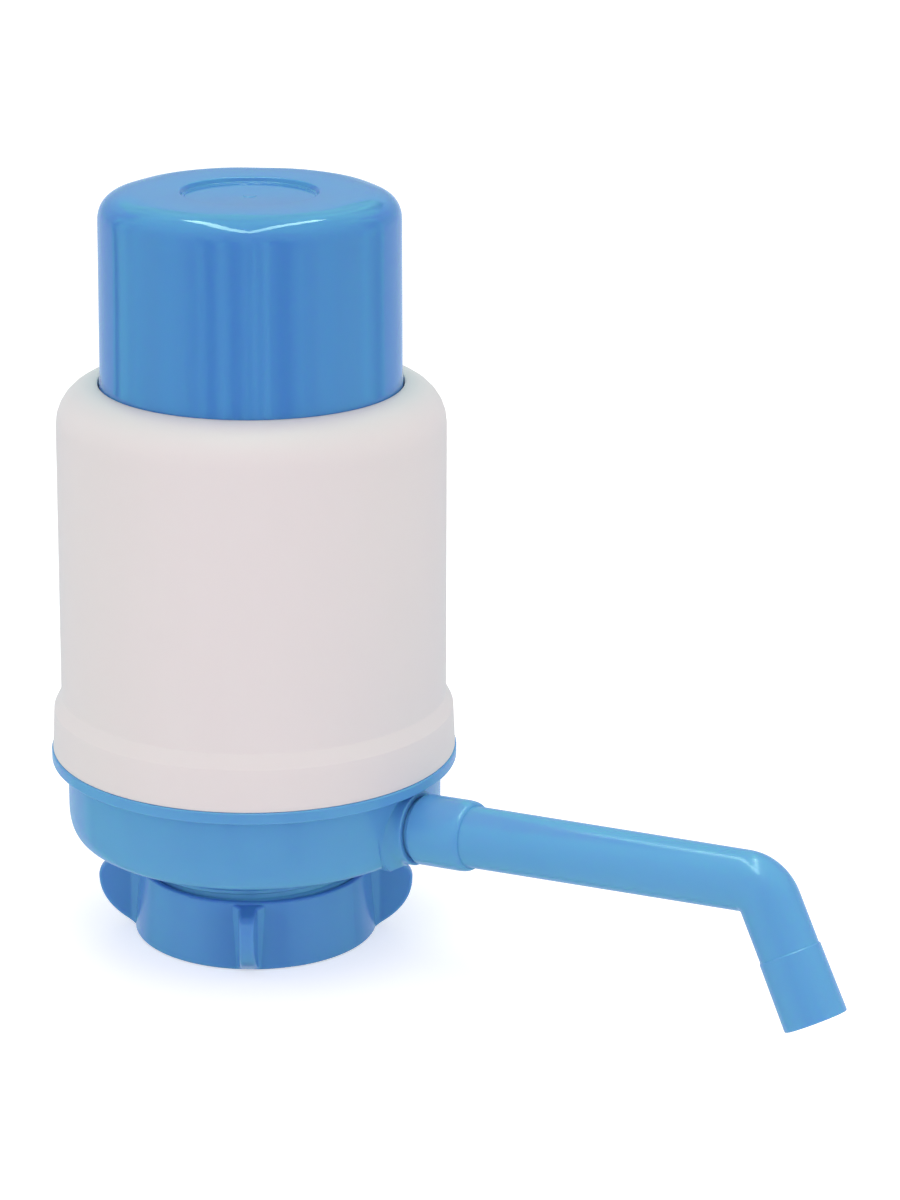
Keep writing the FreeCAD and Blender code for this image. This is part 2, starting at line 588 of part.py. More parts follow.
def base_bowl():
    """The blue base in one moulding."""
    hub_top = SPOUT_AXIS_Z + CHANNEL_R + CHANNEL_WALL
    floor_top = BOWL_BOTTOM_Z + BOWL_FLOOR
    mid_floor = BOWL_BOTTOM_Z + BOWL_FLOOR / 2
    hub = ring(0, SOCKET_R + SOCKET_WALL, SOCKET_FOOT_Z, hub_top)
    skirt = ring(NECK_BORE_R, SKIRT_R, SKIRT_FOOT_Z, mid_floor)
    column = post(SCREW_POST_R, SCREW_CIRCLE_R, mid_floor, LEDGE_Z)
    room = turned([
        (0, mid_floor),
        (BOWL_R - BOWL_WALL / 2, mid_floor, BOWL_CORNER),
        (BOWL_R - BOWL_WALL / 2, LEDGE_Z),
        (0, LEDGE_Z),
    ])
    posts = [shape.common(room) for shape in around(column, SCREW_COUNT, 180.0 / SCREW_COUNT)]
    solid = bowl_body().fuse([hub, skirt, water_channel()] + posts)
    air_hole = post(AIR_HOLE_R, AIR_HOLE_CIRCLE_R, BOWL_BOTTOM_Z, floor_top)
    air_holes = around(air_hole, AIR_HOLE_PLACES)[1:]
    pilot = post(SCREW_R, SCREW_CIRCLE_R, SCREW_TIP_Z - PILOT_OVERRUN, LEDGE_Z)
    pilots = around(pilot, SCREW_COUNT, 180.0 / SCREW_COUNT)
    return solid.cut(channel_bores() + air_holes + pilots).removeSplitter()


# ---------------------------------------------------------------- neck clamp
def rim_gasket():
    """Washer that the jug's mouth seats on, in the top of the skirt."""
    outer = NECK_BORE_R
    return ring(outer - RIM_GASKET_WIDTH, outer, BOWL_BOTTOM_Z - RIM_GASKET_THICKNESS, BOWL_BOTTOM_Z)


def neck_seal():
    """Rubber sleeve between the skirt's foot and the slip ring; it grips the neck."""
    return ring(NECK_BORE_R, SEAL_R, SEAL_BOTTOM_Z, SKIRT_FOOT_Z)


def slip_ring():
    """Hard ring that lets the nut turn without twisting the rubber."""
    return ring(NECK_BORE_R, SEAL_R, NUT_LIP, SEAL_BOTTOM_Z)


def wing():
    """One thumb wing on the X axis: flat top, round outer corner and a full belly down to the foot."""
    root = (NUT_BORE_R + NUT_TOP_R) / 2
    width = WING_ROOT_THICKNESS + 2 * WING_FLARE
    belly_run = math.hypot(WING_BELLY_R - NUT_FOOT_R, WING_BELLY_Z - WING_FOOT_Z)
    belly_rise = WING_TOP_Z - WING_CORNER - WING_BELLY_Z
    side = outline([
        (root, WING_FOOT_Z),
        (NUT_FOOT_R, WING_FOOT_Z),
        (WING_BELLY_R, WING_BELLY_Z, (belly_run * WING_BELLY_EASE, belly_rise * WING_BELLY_EASE)),
        (WING_TIP_R, WING_TOP_Z, WING_CORNER),
        (root, WING_TOP_Z),
    ]).extrude(Vector(0, width, 0))
    side.translate(Vector(0, -width / 2, 0))
    half_root, half_tip = WING_ROOT_THICKNESS / 2, WING_TIP_THICKNESS / 2
    flare_r = NUT_FOOT_R + WING_FLARE / 2
    plan = outline([
        (root, -width / 2),
        (NUT_TOP_R, -width / 2),
        (flare_r, -half_root, WING_FLARE),
        (WING_TIP_R, -half_tip),
        (WING_TIP_R, half_tip),
        (flare_r, half_root, WING_FLARE),
        (NUT_TOP_R, width / 2),
        (root, width / 2),
    ]).extrude(Vector(0, NUT_HEIGHT, 0))
    plan.rotate(Vector(), Vector(1, 0, 0), 90)
    solid = side.common(plan)
    rim = [edge for edge in solid.Edges if edge.BoundBox.XMax > flare_r and edge.BoundBox.YLength < half_root]
    return solid.makeFillet(WING_EDGE, rim)


def wing_nut():
    """Clamp nut: lip, seal chamber, thread bore and the wings."""
    body = turned([
        (NECK_BORE_R, 0),
        (NUT_FOOT_R, 0, NUT_EDGE),
        (NUT_TOP_R, NUT_HEIGHT, NUT_EDGE),
        (NUT_BORE_R, NUT_HEIGHT),
        (NUT_BORE_R, SKIRT_FOOT_Z),
        (CHAMBER_R, SKIRT_FOOT_Z),
        (CHAMBER_R, NUT_LIP),
        (NECK_BORE_R, NUT_LIP),
    ])
    core = ring(0, max(CHAMBER_R, NUT_BORE_R), 0, NUT_HEIGHT)
    wings = [shape.cut(core) for shape in around(wing(), WING_COUNT, WING_TURN)]
    return body.fuse(wings).removeSplitter()


# ---------------------------------------------------------------- spout
def elbow(radius, bend_r):
    """Bend of a round section about the spout's inside corner, in the spout's own frame."""
    start = SPOUT_REACH - bend_r * math.tan(math.radians(SPOUT_BEND / 2))
    circle = Part.Wire(Part.makeCircle(radius, Vector(start, 0, 0), Vector(1, 0, 0)))
    section = Part.Face(circle)
    return section.revolve(Vector(start, 0, -bend_r), Vector(0, 1, 0), SPOUT_BEND)


def drop_leg(stations):
    """Solid turned about the outlet leg's axis from (distance from the elbow, radius)."""
    half = outline(stations)
    solid = half.revolve(Vector(), Vector(1, 0, 0), 360)
    place = Placement(Vector(SPOUT_REACH, 0, 0), Rotation(Vector(0, 1, 0), SPOUT_BEND))
    solid.Placement = place.multiply(solid.Placement)
    return solid


def plug_outline():
    """Corners of the spout's plug: snap ring first, then a groove for each O-ring."""
    corners = [
        (PLUG_END, 0),
        (PLUG_END, PLUG_R, PLUG_EDGE),
        (SNAP_RING_AT - SNAP_RING_WIDTH / 2, PLUG_R),
        (SNAP_RING_AT, PLUG_R + SNAP_RING_RISE),
        (SNAP_RING_AT + SNAP_RING_WIDTH / 2, PLUG_R),
    ]
    floor_r = PLUG_SOCKET_R - O_RING_GAP - 2 * O_RING_R
    for at in o_ring_stations():
        start, end = at - O_RING_R, at + O_RING_R
        corners += [(start, PLUG_R), (start, floor_r), (end, floor_r), (end, PLUG_R)]
    return corners


def spout_tube():
    """Spout in one moulding: plug, sleeve, long tapered tube, elbow and outlet sleeve."""
    bend_r = SPOUT_ELBOW_R + ELBOW_INNER_R
    reach = bend_r * math.tan(math.radians(SPOUT_BEND / 2))
    bend_start = SPOUT_REACH - reach
    shaft_in = BOSS_RIM_AT - PLUG_SHAFT_DEPTH
    long_leg = turned_on_spout(plug_outline() + [
        (shaft_in, PLUG_R),
        (shaft_in, PLUG_SHAFT_R),
        (SLEEVE_START, PLUG_SHAFT_R),
        (SLEEVE_START, SLEEVE_R, SLEEVE_EDGE),
        (SLEEVE_END, SLEEVE_R, (SLEEVE_SHOULDER, (SLEEVE_R - SPOUT_ROOT_R) * 0.95)),
        (SLEEVE_END, SPOUT_ROOT_R),
        (bend_start, SPOUT_ELBOW_R),
        (bend_start, 0),
    ], Placement())
    leg = drop_leg([
        (reach, 0),
        (reach, SPOUT_ELBOW_R),
        (OUTLET_STEP_AT, SPOUT_ELBOW_R),
        (OUTLET_STEP_AT + OUTLET_STEP, SPOUT_ELBOW_R + OUTLET_STEP),
        (SPOUT_DROP, SPOUT_ELBOW_R + OUTLET_STEP + OUTLET_FLARE, OUTLET_EDGE),
        (SPOUT_DROP, 0),
    ])
    hollow = turned_on_spout([
        (PLUG_END, 0),
        (bend_start, 0),
        (bend_start, SPOUT_BORE_R),
        (shaft_in, SPOUT_BORE_R),
        (shaft_in, PLUG_BORE_R),
        (PLUG_END, PLUG_BORE_R),
    ], Placement())
    leg_hollow = drop_leg([(reach, 0), (reach, SPOUT_BORE_R), (SPOUT_DROP, SPOUT_BORE_R), (SPOUT_DROP, 0)])
    solid = long_leg.fuse([elbow(SPOUT_ELBOW_R, bend_r), leg])
    solid = solid.cut([hollow, elbow(SPOUT_BORE_R, bend_r), leg_hollow]).removeSplitter()
    solid.Placement = SPOUT_REST.multiply(solid.Placement)
    return solid


def o_ring_stations():
    """Middles of the two O-ring grooves along the spout's axis."""
    middle = (PLUG_END + BOSS_RIM_AT) / 2 + O_RING_R
    return [middle - O_RING_SPACING / 2, middle + O_RING_SPACING / 2]


def spout_o_rings():
    """Two O-rings in the plug's grooves."""
    rings = []
    for at in o_ring_stations():
        big = PLUG_SOCKET_R - O_RING_GAP - O_RING_R
        rings.append(Part.makeTorus(big, O_RING_R, Vector(at, 0, 0), Vector(1, 0, 0)))
    group = Part.makeCompound(rings)
    group.Placement = SPOUT_REST.multiply(group.Placement)
    return group


PIECES = {
    "housing_shell": housing_shell(),
    "press_cap": press_cap(),
    "bellows_head": bellows_head(),
    "bellows_collar": bellows_collar(),
    "inlet_valve": umbrella_valve(HEAD_BOTTOM_Z, HEAD_THICKNESS),
    "bellows": bellows(),
    "bellows_ring": bellows_ring(),
    "ring_screws": ring_screws(),
    "deck_plate": deck_plate(),
    "deck_gasket": deck_gasket(),
    "outlet_valve": umbrella_valve(DECK_BOTTOM_Z, DECK_THICKNESS),
    "base_bowl": base_bowl(),
    "rim_gasket": rim_gasket(),
    "neck_seal": neck_seal(),
    "slip_ring": slip_ring(),
    "wing_nut": wing_nut(),
    "spout_tube": spout_tube(),
    "spout_o_rings": spout_o_rings(),
}

os.makedirs("parts", exist_ok=True)
for name, shape in PIECES.items():
    shape.exportStep("parts/" + name + ".step")
    box = shape.BoundBox
    print(f"{name:16s} solids {len(shape.Solids)} valid {shape.isValid()} volume {shape.Volume:9.1f}"
          f"  z {box.ZMin:7.2f}..{box.ZMax:7.2f}")
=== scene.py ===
# %% [markdown]
# # A hand pump for a large water jug, dressed in Blender
# The pump is a bellows in a white housing. Pressing the blue cap sends air down into the jug,
# and water comes up and out of the bent blue spout. A winged nut clamps the jug's neck.
#
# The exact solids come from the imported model, which is the frame of this scene. The lesson adds
# what a moulding has and a plain solid lacks: soft edges, sink marks, gate marks, folds that
# roll over, and finishes with pigment, gloss and grain.

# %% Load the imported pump
import json
import math

import bmesh
import bpy
from mathutils import Matrix, Vector


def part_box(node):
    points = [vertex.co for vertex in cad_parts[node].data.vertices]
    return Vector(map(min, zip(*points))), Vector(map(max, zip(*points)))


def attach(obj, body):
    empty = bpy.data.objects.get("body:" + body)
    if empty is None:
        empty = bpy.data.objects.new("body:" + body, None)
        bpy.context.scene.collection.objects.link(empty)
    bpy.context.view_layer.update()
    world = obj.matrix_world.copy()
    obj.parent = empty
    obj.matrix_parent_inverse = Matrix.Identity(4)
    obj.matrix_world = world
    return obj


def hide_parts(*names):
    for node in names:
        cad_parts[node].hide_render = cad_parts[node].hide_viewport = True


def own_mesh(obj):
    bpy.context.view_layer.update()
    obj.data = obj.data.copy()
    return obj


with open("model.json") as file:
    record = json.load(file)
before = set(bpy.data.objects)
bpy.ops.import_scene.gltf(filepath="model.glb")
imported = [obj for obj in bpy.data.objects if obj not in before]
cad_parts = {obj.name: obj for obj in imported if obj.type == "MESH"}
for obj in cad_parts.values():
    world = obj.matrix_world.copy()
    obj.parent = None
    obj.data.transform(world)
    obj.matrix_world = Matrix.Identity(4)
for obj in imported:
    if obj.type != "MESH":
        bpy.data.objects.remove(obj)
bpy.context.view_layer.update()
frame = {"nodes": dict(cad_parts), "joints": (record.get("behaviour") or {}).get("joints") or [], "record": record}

# %% [markdown]
# ## Millimetres in, metres out
# Blender works in metres, but a mould maker draws in millimetres, so every outline below is in
# millimetres and one factor turns it into metres. Heights are read from the frame: a skin that
# stands for a solid has to start and end where that solid does, whatever its size becomes.

# %% Heights and radii read from the frame
MM = 0.001


def low(node):
    """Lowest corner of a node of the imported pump, in millimetres."""
    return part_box(node)[0] / MM


def high(node):
    """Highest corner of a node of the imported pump, in millimetres."""
    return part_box(node)[1] / MM


CAP_TOP = high("press_cap").z
CAP_RIM_FOOT = low("press_cap").z
CAP_RIM_R = high("press_cap").x
HOUSING_TOP = high("housing_shell").z
HOUSING_FOOT = low("housing_shell").z
BAND_FOOT_R = high("housing_shell").x
print("cap top", round(CAP_TOP, 2), "housing from", round(HOUSING_FOOT, 2), "to", round(HOUSING_TOP, 2))

# %% [markdown]
# ## A lathe for moulded pieces
# Nearly every piece of this pump is round. A cylinder primitive with a bevel could stand in for
# one, but a mould maker draws half a cross-section and turns it. The same is done here: a
# short list of corners, each with its radius, becomes a smooth outline, and
# bmesh.ops.spin turns that outline once round. The faces come out as even four-sided strips,
# which is the kind of surface that shows long highlights cleanly.

# %% Round the corners of a half cross-section
ARC_STEPS = 7
CURVE_STEPS = 14


def rounded(corners, closed):
    """Points of an outline. A corner is (r, z), (r, z, radius) or (r, z, (reach in, reach out))."""
    points = []
    for index, corner in enumerate(corners):
        here = Vector(corner[:2])
        size = corner[2] if len(corner) > 2 else 0
        is_end = not closed and index in (0, len(corners) - 1)
        if not size or is_end:
            points.append(here)
            continue
        before = (Vector(corners[index - 1][:2]) - here).normalized()
        after = (Vector(corners[(index + 1) % len(corners)][:2]) - here).normalized()
        if isinstance(size, tuple):
            first, last = here + before * size[0], here + after * size[1]
            for step in range(CURVE_STEPS + 1):
                t = step / CURVE_STEPS
                points.append(first * (1 - t) ** 2 + here * 2 * t * (1 - t) + last * t ** 2)
            continue
        half = before.angle(after) / 2
        centre = here + (before + after).normalized() * (size / math.sin(half))
        first = here + before * (size / math.tan(half)) - centre
        last = here + after * (size / math.tan(half)) - centre
        for step in range(ARC_STEPS + 1):
            points.append(centre + first.slerp(last, step / ARC_STEPS) * size)
    return points


print("a square with one round corner has", len(rounded([(0, 0), (9, 0, 2), (9, 9), (0, 9)], True)), "points")

# %% Turn a cross-section into a piece
SHARP = math.radians(38)
SAME_POINT = 1e-6


def finished_mesh(shape, name):
    """Blender mesh from a bmesh: faces outward, smooth, with edges sharp only where they are crisp."""
    bmesh.ops.remove_doubles(shape, verts=shape.verts, dist=SAME_POINT)
    bmesh.ops.recalc_face_normals(shape, faces=shape.faces)
    for face in shape.faces:
        face.smooth = True
    for edge in shape.edges:
        edge.smooth = len(edge.link_faces) == 2 and edge.calc_face_angle(0) < SHARP
    mesh = bpy.data.meshes.new(name)
    shape.to_mesh(mesh)
    shape.free()
    return mesh


def turned(shape, corners, steps=160):
    """Adds to the bmesh an outline turned about Z. It may start and end on the axis."""
    closed = corners[0][0] > 0
    points = rounded(corners, closed)
    verts = [shape.verts.new((p.x * MM, 0, p.y * MM)) for p in points]
    edges = [shape.edges.new(pair) for pair in zip(verts, verts[1:])]
    if closed:
        edges.append(shape.edges.new((verts[-1], verts[0])))
    bmesh.ops.spin(shape, geom=verts + edges, cent=(0, 0, 0), axis=(0, 0, 1), angle=math.tau, steps=steps,
                   use_merge=True)
    return shape


slot_of_skin = {}


def piece(name, mesh, body, slot, replaces=(), place=None):
    """Object for a mesh: it rides on a body, takes a slot's finish and may stand for solids."""
    made = bpy.data.objects.new(name, mesh)
    bpy.context.scene.collection.objects.link(made)
    if place:
        made.matrix_world = place
    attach(made, body)
    slot_of_skin[name] = slot
    if replaces:
        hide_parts(*replaces)
    print(name, "with", len(mesh.polygons), "faces rides on", body)
    return made


def copied_round(shape, count, first_angle, add):
    """Runs add(shape) count times and turns what each run adds to its place about Z."""
    for index in range(count):
        known = set(shape.verts)
        add(shape)
        new = [v for v in shape.verts if v not in known]
        turn = Matrix.Rotation(math.radians(first_angle + 360 * index / count), 3, "Z")
        bmesh.ops.rotate(shape, verts=new, cent=(0, 0, 0), matrix=turn)


def block(shape, low_corner, high_corner):
    """Adds a box between two corners in millimetres."""
    size = Vector(high_corner) - Vector(low_corner)
    middle = (Vector(high_corner) + Vector(low_corner)) / 2
    place = Matrix.Translation(middle * MM) @ Matrix.Diagonal((*(size * MM), 1))
    bmesh.ops.create_cube(shape, size=1, matrix=place)


# %% [markdown]
# ## The press cap
# The cap is what the hand feels, so it is soft to the touch: a wide round at the top corner, a
# shallow dish for the thumb, and in its middle the small disc where plastic entered the mould.
# Six ribs stiffen it inside. Where a rib joins the skin, the plastic cools last and shrinks,
# which draws the corner in by about a sixth of a millimetre. Nobody sees that by itself, but it
# bends every highlight that runs round the corner, so it is modelled in the mesh and not as a
# bump.

# %% Cross-section of the cap
CAP_TOP_R = 39.7
CAP_FOOT_R = 40.0
CORNER_ACROSS, CORNER_DOWN = 10.0, 7.5
CAP_WALL = 2.0
CAP_TOP_THICKNESS = 2.2
CAP_DRAFT = ((16.0, 0.08), (26.0, 0.16))
CAP_FLARE = 0.3
FLARE_ABOVE, FLARE_BELOW = 3.5, 0.4
TOP_LAND = 3.0
DISH_FLOOR_R = 17.0
DISH_DEPTH = 1.4
DISH_LEDGE, LEDGE_OUT = 0.25, 0.6
DISH_LIP_OUT = 1.3
DISH_UNDER_R = 20.4
DISH_UNDER_DEPTH = 1.6
GATE_R = 1.5
GATE_RISE = 0.12
MOAT_WIDTH, MOAT_DEPTH = 1.0, 0.03
RIM_HEIGHT = 2.5
RIM_TOP = CAP_RIM_FOOT + RIM_HEIGHT

cap_shape = bmesh.new()
dish_floor = CAP_TOP - DISH_DEPTH
cap_under = CAP_TOP - CAP_TOP_THICKNESS
cap_bore = CAP_TOP_R - CAP_WALL
turned(cap_shape, [
    (0, dish_floor + GATE_RISE),
    (GATE_R, dish_floor + GATE_RISE, 0.12),
    (GATE_R + 0.3, dish_floor - MOAT_DEPTH, 0.15),
    (GATE_R + MOAT_WIDTH, dish_floor),
    (DISH_FLOOR_R, dish_floor, 0.25),
    (DISH_FLOOR_R + 0.1, dish_floor + DISH_LEDGE, 0.15),
    (DISH_FLOOR_R + LEDGE_OUT, dish_floor + DISH_LEDGE, 0.3),
    (DISH_FLOOR_R + DISH_LIP_OUT, CAP_TOP, 0.7),
    (CAP_TOP_R - CORNER_ACROSS - TOP_LAND, CAP_TOP),
    (CAP_TOP_R, CAP_TOP, (CORNER_ACROSS, CORNER_DOWN)),
    *[(CAP_TOP_R + wider, CAP_TOP - down) for down, wider in CAP_DRAFT],
    (CAP_FOOT_R, HOUSING_TOP + FLARE_ABOVE),
    (CAP_FOOT_R + CAP_FLARE, HOUSING_TOP - FLARE_BELOW),
    (CAP_FOOT_R + CAP_FLARE, RIM_TOP, 0.3),
    (CAP_RIM_R, RIM_TOP, 0.6),
    (CAP_RIM_R, CAP_RIM_FOOT, 0.3),
    (cap_bore, CAP_RIM_FOOT, 0.3),
    (cap_bore, cap_under, (CORNER_DOWN - CAP_WALL, CORNER_ACROSS - CAP_WALL)),
    (DISH_UNDER_R + CAP_WALL, cap_under, 0.6),
    (DISH_UNDER_R, cap_under - DISH_UNDER_DEPTH, 0.6),
    (0, cap_under - DISH_UNDER_DEPTH),
], steps=216)
print("cap skin has", len(cap_shape.verts), "points")

# %% Sink marks over the ribs
RIB_COUNT = 6
RIB_THICKNESS = 1.5
RIB_DEPTH = 7.0
SINK = 0.16
SINK_WIDTH = 6.5
SINK_LENGTH = 20.0
SINK_START = 3.0
SKIN_TOLERANCE = 0.05


def sink_marks(shape):
    """Draws the outer skin in over each rib, most at the top corner and less down the wall."""
    for vert in shape.verts:
        radius = math.hypot(vert.co.x, vert.co.y) / MM
        height = vert.co.z / MM
        is_flat_top = radius < CAP_TOP_R - CORNER_ACROSS
        is_inside = height < cap_under and radius < CAP_TOP_R - SKIN_TOLERANCE
        if is_flat_top or is_inside:
            continue
        angle = math.degrees(math.atan2(vert.co.y, vert.co.x)) % (360 / RIB_COUNT)
        away = min(angle, 360 / RIB_COUNT - angle)
        across = math.radians(away) * radius
        down = max(0.0, CAP_TOP - CORNER_DOWN / 2 - height)
        depth = SINK * math.exp(-(across / SINK_WIDTH) ** 2 - (down / SINK_LENGTH) ** 2)
        depth *= min(1.0, (radius - CAP_TOP_R + CORNER_ACROSS) / SINK_START)
        vert.co *= 1 - depth * MM / vert.co.length


def cap_rib(shape):
    """One stiffening rib on the X axis, from the dish to the wall and up to the top."""
    outer, inner = cap_bore + CAP_WALL / 2, DISH_UNDER_R + CAP_WALL / 2
    foot, roof = cap_under - RIB_DEPTH, cap_under + CAP_TOP_THICKNESS / 2
    corners = [(inner, foot), (outer, foot), (outer, cap_under - CORNER_DOWN / 2),
               (outer - CORNER_ACROSS / 2, roof), (inner, roof)]
    sides = []
    for side in (-RIB_THICKNESS / 2, RIB_THICKNESS / 2):
        verts = [shape.verts.new((r * MM, side * MM, z * MM)) for r, z in corners]
        sides.append(verts)
        shape.faces.new(verts)
    for index in range(len(corners)):
        after = (index + 1) % len(corners)
        shape.faces.new((sides[0][index], sides[0][after], sides[1][after], sides[1][index]))


sink_marks(cap_shape)
copied_round(cap_shape, RIB_COUNT, 0, cap_rib)
cap_mesh = finished_mesh(cap_shape, "cap_moulding")
print("cap moulding with", RIB_COUNT, "ribs has", len(cap_mesh.vertices), "points")

# %% [markdown]
# ## Cutting the air vents
# Four notches in the cap's rim let air reach the bellows. They are true cuts, so a Boolean
# modifier takes four short bars out of the finished skin. The exact solver is used: it keeps
# the cut's edges crisp where the faster one can leave holes on coplanar faces.

# %% Vents in the cap's rim
VENT_COUNT = 4
VENT_TURN = 45
VENT_WIDTH = 7.0
VENT_HEIGHT = 1.2
CUT_PAST = 1.0


def cut_from(target, cutter_shape):
    """Takes a bmesh out of an object with the exact Boolean solver, and keeps the result."""
    cutter_mesh = finished_mesh(cutter_shape, "cutter")
    cutter = bpy.data.objects.new("cutter", cutter_mesh)
    bpy.context.scene.collection.objects.link(cutter)
    step = target.modifiers.new("cut", "BOOLEAN")
    step.object, step.operation, step.solver = cutter, "DIFFERENCE", "EXACT"
    result = bpy.data.meshes.new_from_object(target.evaluated_get(bpy.context.evaluated_depsgraph_get()))
    target.modifiers.remove(step)
    old = target.data
    target.data = result
    result.name = old.name
    bpy.data.meshes.remove(old)
    bpy.data.objects.remove(cutter)
    bpy.data.meshes.remove(cutter_mesh)


def vent_bar(shape):
    """Bar through the rim, past both of its walls and below its foot."""
    block(shape, (cap_bore - CAP_WALL, -VENT_WIDTH / 2, CAP_RIM_FOOT - CUT_PAST),
          (CAP_RIM_R + CUT_PAST, VENT_WIDTH / 2, CAP_RIM_FOOT + VENT_HEIGHT))


cap = piece("cap_skin", cap_mesh, "cap", "blue", ["press_cap"])
vents = bmesh.new()
copied_round(vents, VENT_COUNT, VENT_TURN, vent_bar)
cut_from(cap, vents)
print("cap with vents has", len(cap.data.polygons), "faces")

# %% [markdown]
# ## The white housing
# The housing is a thin shell, open at the top for the cap. Its wall leans by four tenths of a
# millimetre so that it leaves the mould, its shoulder is one large soft round, and the foot
# steps out into a band that hides the joint with the blue base. The opening's lip
# is thinned to an edge with a small radius, which catches a bright line round the cap.

# %% Cross-section of the housing
OPENING_R = 40.5
SHOULDER = 11.05
SHOULDER_R = 51.75
WALL_FOOT_R = 52.15
BAND_R = 54.15
BAND_RISE = 11.5
BAND_SLOPE = 3.95
HOUSING_WALL = 2.0
LIP_ROUND = 0.7
LIP_FALL = 0.004
SNAP_GROOVE, SNAP_GROOVE_HALF = 0.7, 1.45
SNAP_GROOVE_LIFT = 0.5

housing_shape = bmesh.new()
band_top = HOUSING_FOOT + BAND_RISE
bore = BAND_R - HOUSING_WALL
groove_at = HOUSING_FOOT + (BAND_RISE - HOUSING_WALL - SNAP_GROOVE_LIFT) / 2
turned(housing_shape, [
    (OPENING_R, HOUSING_TOP, LIP_ROUND),
    (SHOULDER_R - SHOULDER, HOUSING_TOP - LIP_FALL),
    (SHOULDER_R, HOUSING_TOP, SHOULDER),
    (WALL_FOOT_R, band_top + BAND_SLOPE, 0.9),
    (BAND_R, band_top, 0.9),
    (BAND_FOOT_R, HOUSING_FOOT, 0.35),
    (bore, HOUSING_FOOT, 0.3),
    (bore, groove_at - SNAP_GROOVE_HALF),
    (bore + SNAP_GROOVE, groove_at, 0.5),
    (bore, groove_at + SNAP_GROOVE_HALF),
    (bore, band_top - HOUSING_WALL, 0.6),
    (WALL_FOOT_R - HOUSING_WALL, band_top - HOUSING_WALL + BAND_SLOPE, 0.6),
    (SHOULDER_R - HOUSING_WALL, HOUSING_TOP - HOUSING_WALL, SHOULDER - HOUSING_WALL),
    (OPENING_R, HOUSING_TOP - HOUSING_WALL, 0.3),
], steps=240)
print("housing skin has", len(housing_shape.verts), "points")

# %% Guide ribs inside the housing
GUIDE_COUNT = 6
GUIDE_THICKNESS = 1.8
GUIDE_GAP = 0.4
GUIDE_LIFT = 1.0
GUIDE_FOOT = high("ring_screws").z + GUIDE_LIFT


def guide_rib(shape):
    """Rib on the X axis that keeps the cap's rim in the middle, from above the screws to the shoulder."""
    block(shape, (CAP_RIM_R + GUIDE_GAP, -GUIDE_THICKNESS / 2, GUIDE_FOOT),
          (SHOULDER_R - HOUSING_WALL / 2, GUIDE_THICKNESS / 2, HOUSING_TOP - SHOULDER))


copied_round(housing_shape, GUIDE_COUNT, 0, guide_rib)
housing_mesh = finished_mesh(housing_shape, "housing_moulding")
piece("housing_skin", housing_mesh, "root", "white", ["housing_shell"])

# %% [markdown]
# ## The bent spout
# The spout is one moulding: a plug with a snap ring, a thick sleeve, a long leg that tapers, a
# bend with almost no inside radius, and a short outlet leg with a stepped end. A curve with a
# bevel would give a tube of one thickness and pinch it at the tight bend. Turning the
# whole tube straight on the lathe and then bending it, point by point, about the inside
# corner keeps every step and both walls true.

# %% Sizes of the spout
SPOUT_TURN = math.radians(-7.27)
SPOUT_BEND = math.radians(64.3)
BOSS_RIM_AT = 54.04
SHAFT_START = BOSS_RIM_AT - 1.0
SLEEVE_GAP, SLEEVE_LENGTH = 1.2, 15.86
SLEEVE_START = BOSS_RIM_AT + SLEEVE_GAP
SLEEVE_END = SLEEVE_START + SLEEVE_LENGTH
PLUG_LENGTH = 17.0
PLUG_END = BOSS_RIM_AT - PLUG_LENGTH
SPOUT_REACH = 156.97
SPOUT_DROP = 37.0
STEP_DROP = 18.4
ROOT_R = 8.2
ELBOW_R = 7.88
OUTLET_R = 8.37
SLEEVE_R = 9.5
SHAFT_R = 8.3
PLUG_R = 6.8
SPOUT_BORE = 5.8
PLUG_BORE = 4.6
BEND_INSIDE_R = 0.15
BEND_R = ELBOW_R + BEND_INSIDE_R
bend_reach = BEND_R * math.tan(SPOUT_BEND / 2)
bend_from = SPOUT_REACH - bend_reach
leg_from = bend_from + BEND_R * SPOUT_BEND
spout_end = leg_from + SPOUT_DROP - bend_reach
step_at = leg_from + STEP_DROP - bend_reach
print("spout measured along its own line ends at", round(spout_end, 2))

# %% Turn the spout straight
BEND_STEPS = 18
TAPER_STEPS = 6
RING_SEAT_R, RING_SEAT_HALF = 5.3, 0.8
RING_SHIFT, RING_FROM_MIDDLE = 0.8, 2.3
SNAP_FROM_END, SNAP_HALF, SNAP_RISE = 1.8, 0.9, 0.35
SLEEVE_ROUND, SLEEVE_ROUND_SHARE = 3.6, 0.85
STEP_RISE, STEP_LENGTH = 0.3, 0.35


def stations(start, end, radius_start, radius_end, count):
    """Evenly spaced (radius, distance) points, without the first and the last."""
    return [(radius_start + (radius_end - radius_start) * i / count, start + (end - start) * i / count)
            for i in range(1, count)]


def o_ring_groove(at):
    """Corners of one square groove round the plug."""
    start, end = at - RING_SEAT_HALF, at + RING_SEAT_HALF
    return [(PLUG_R, start), (RING_SEAT_R, start), (RING_SEAT_R, end), (PLUG_R, end)]


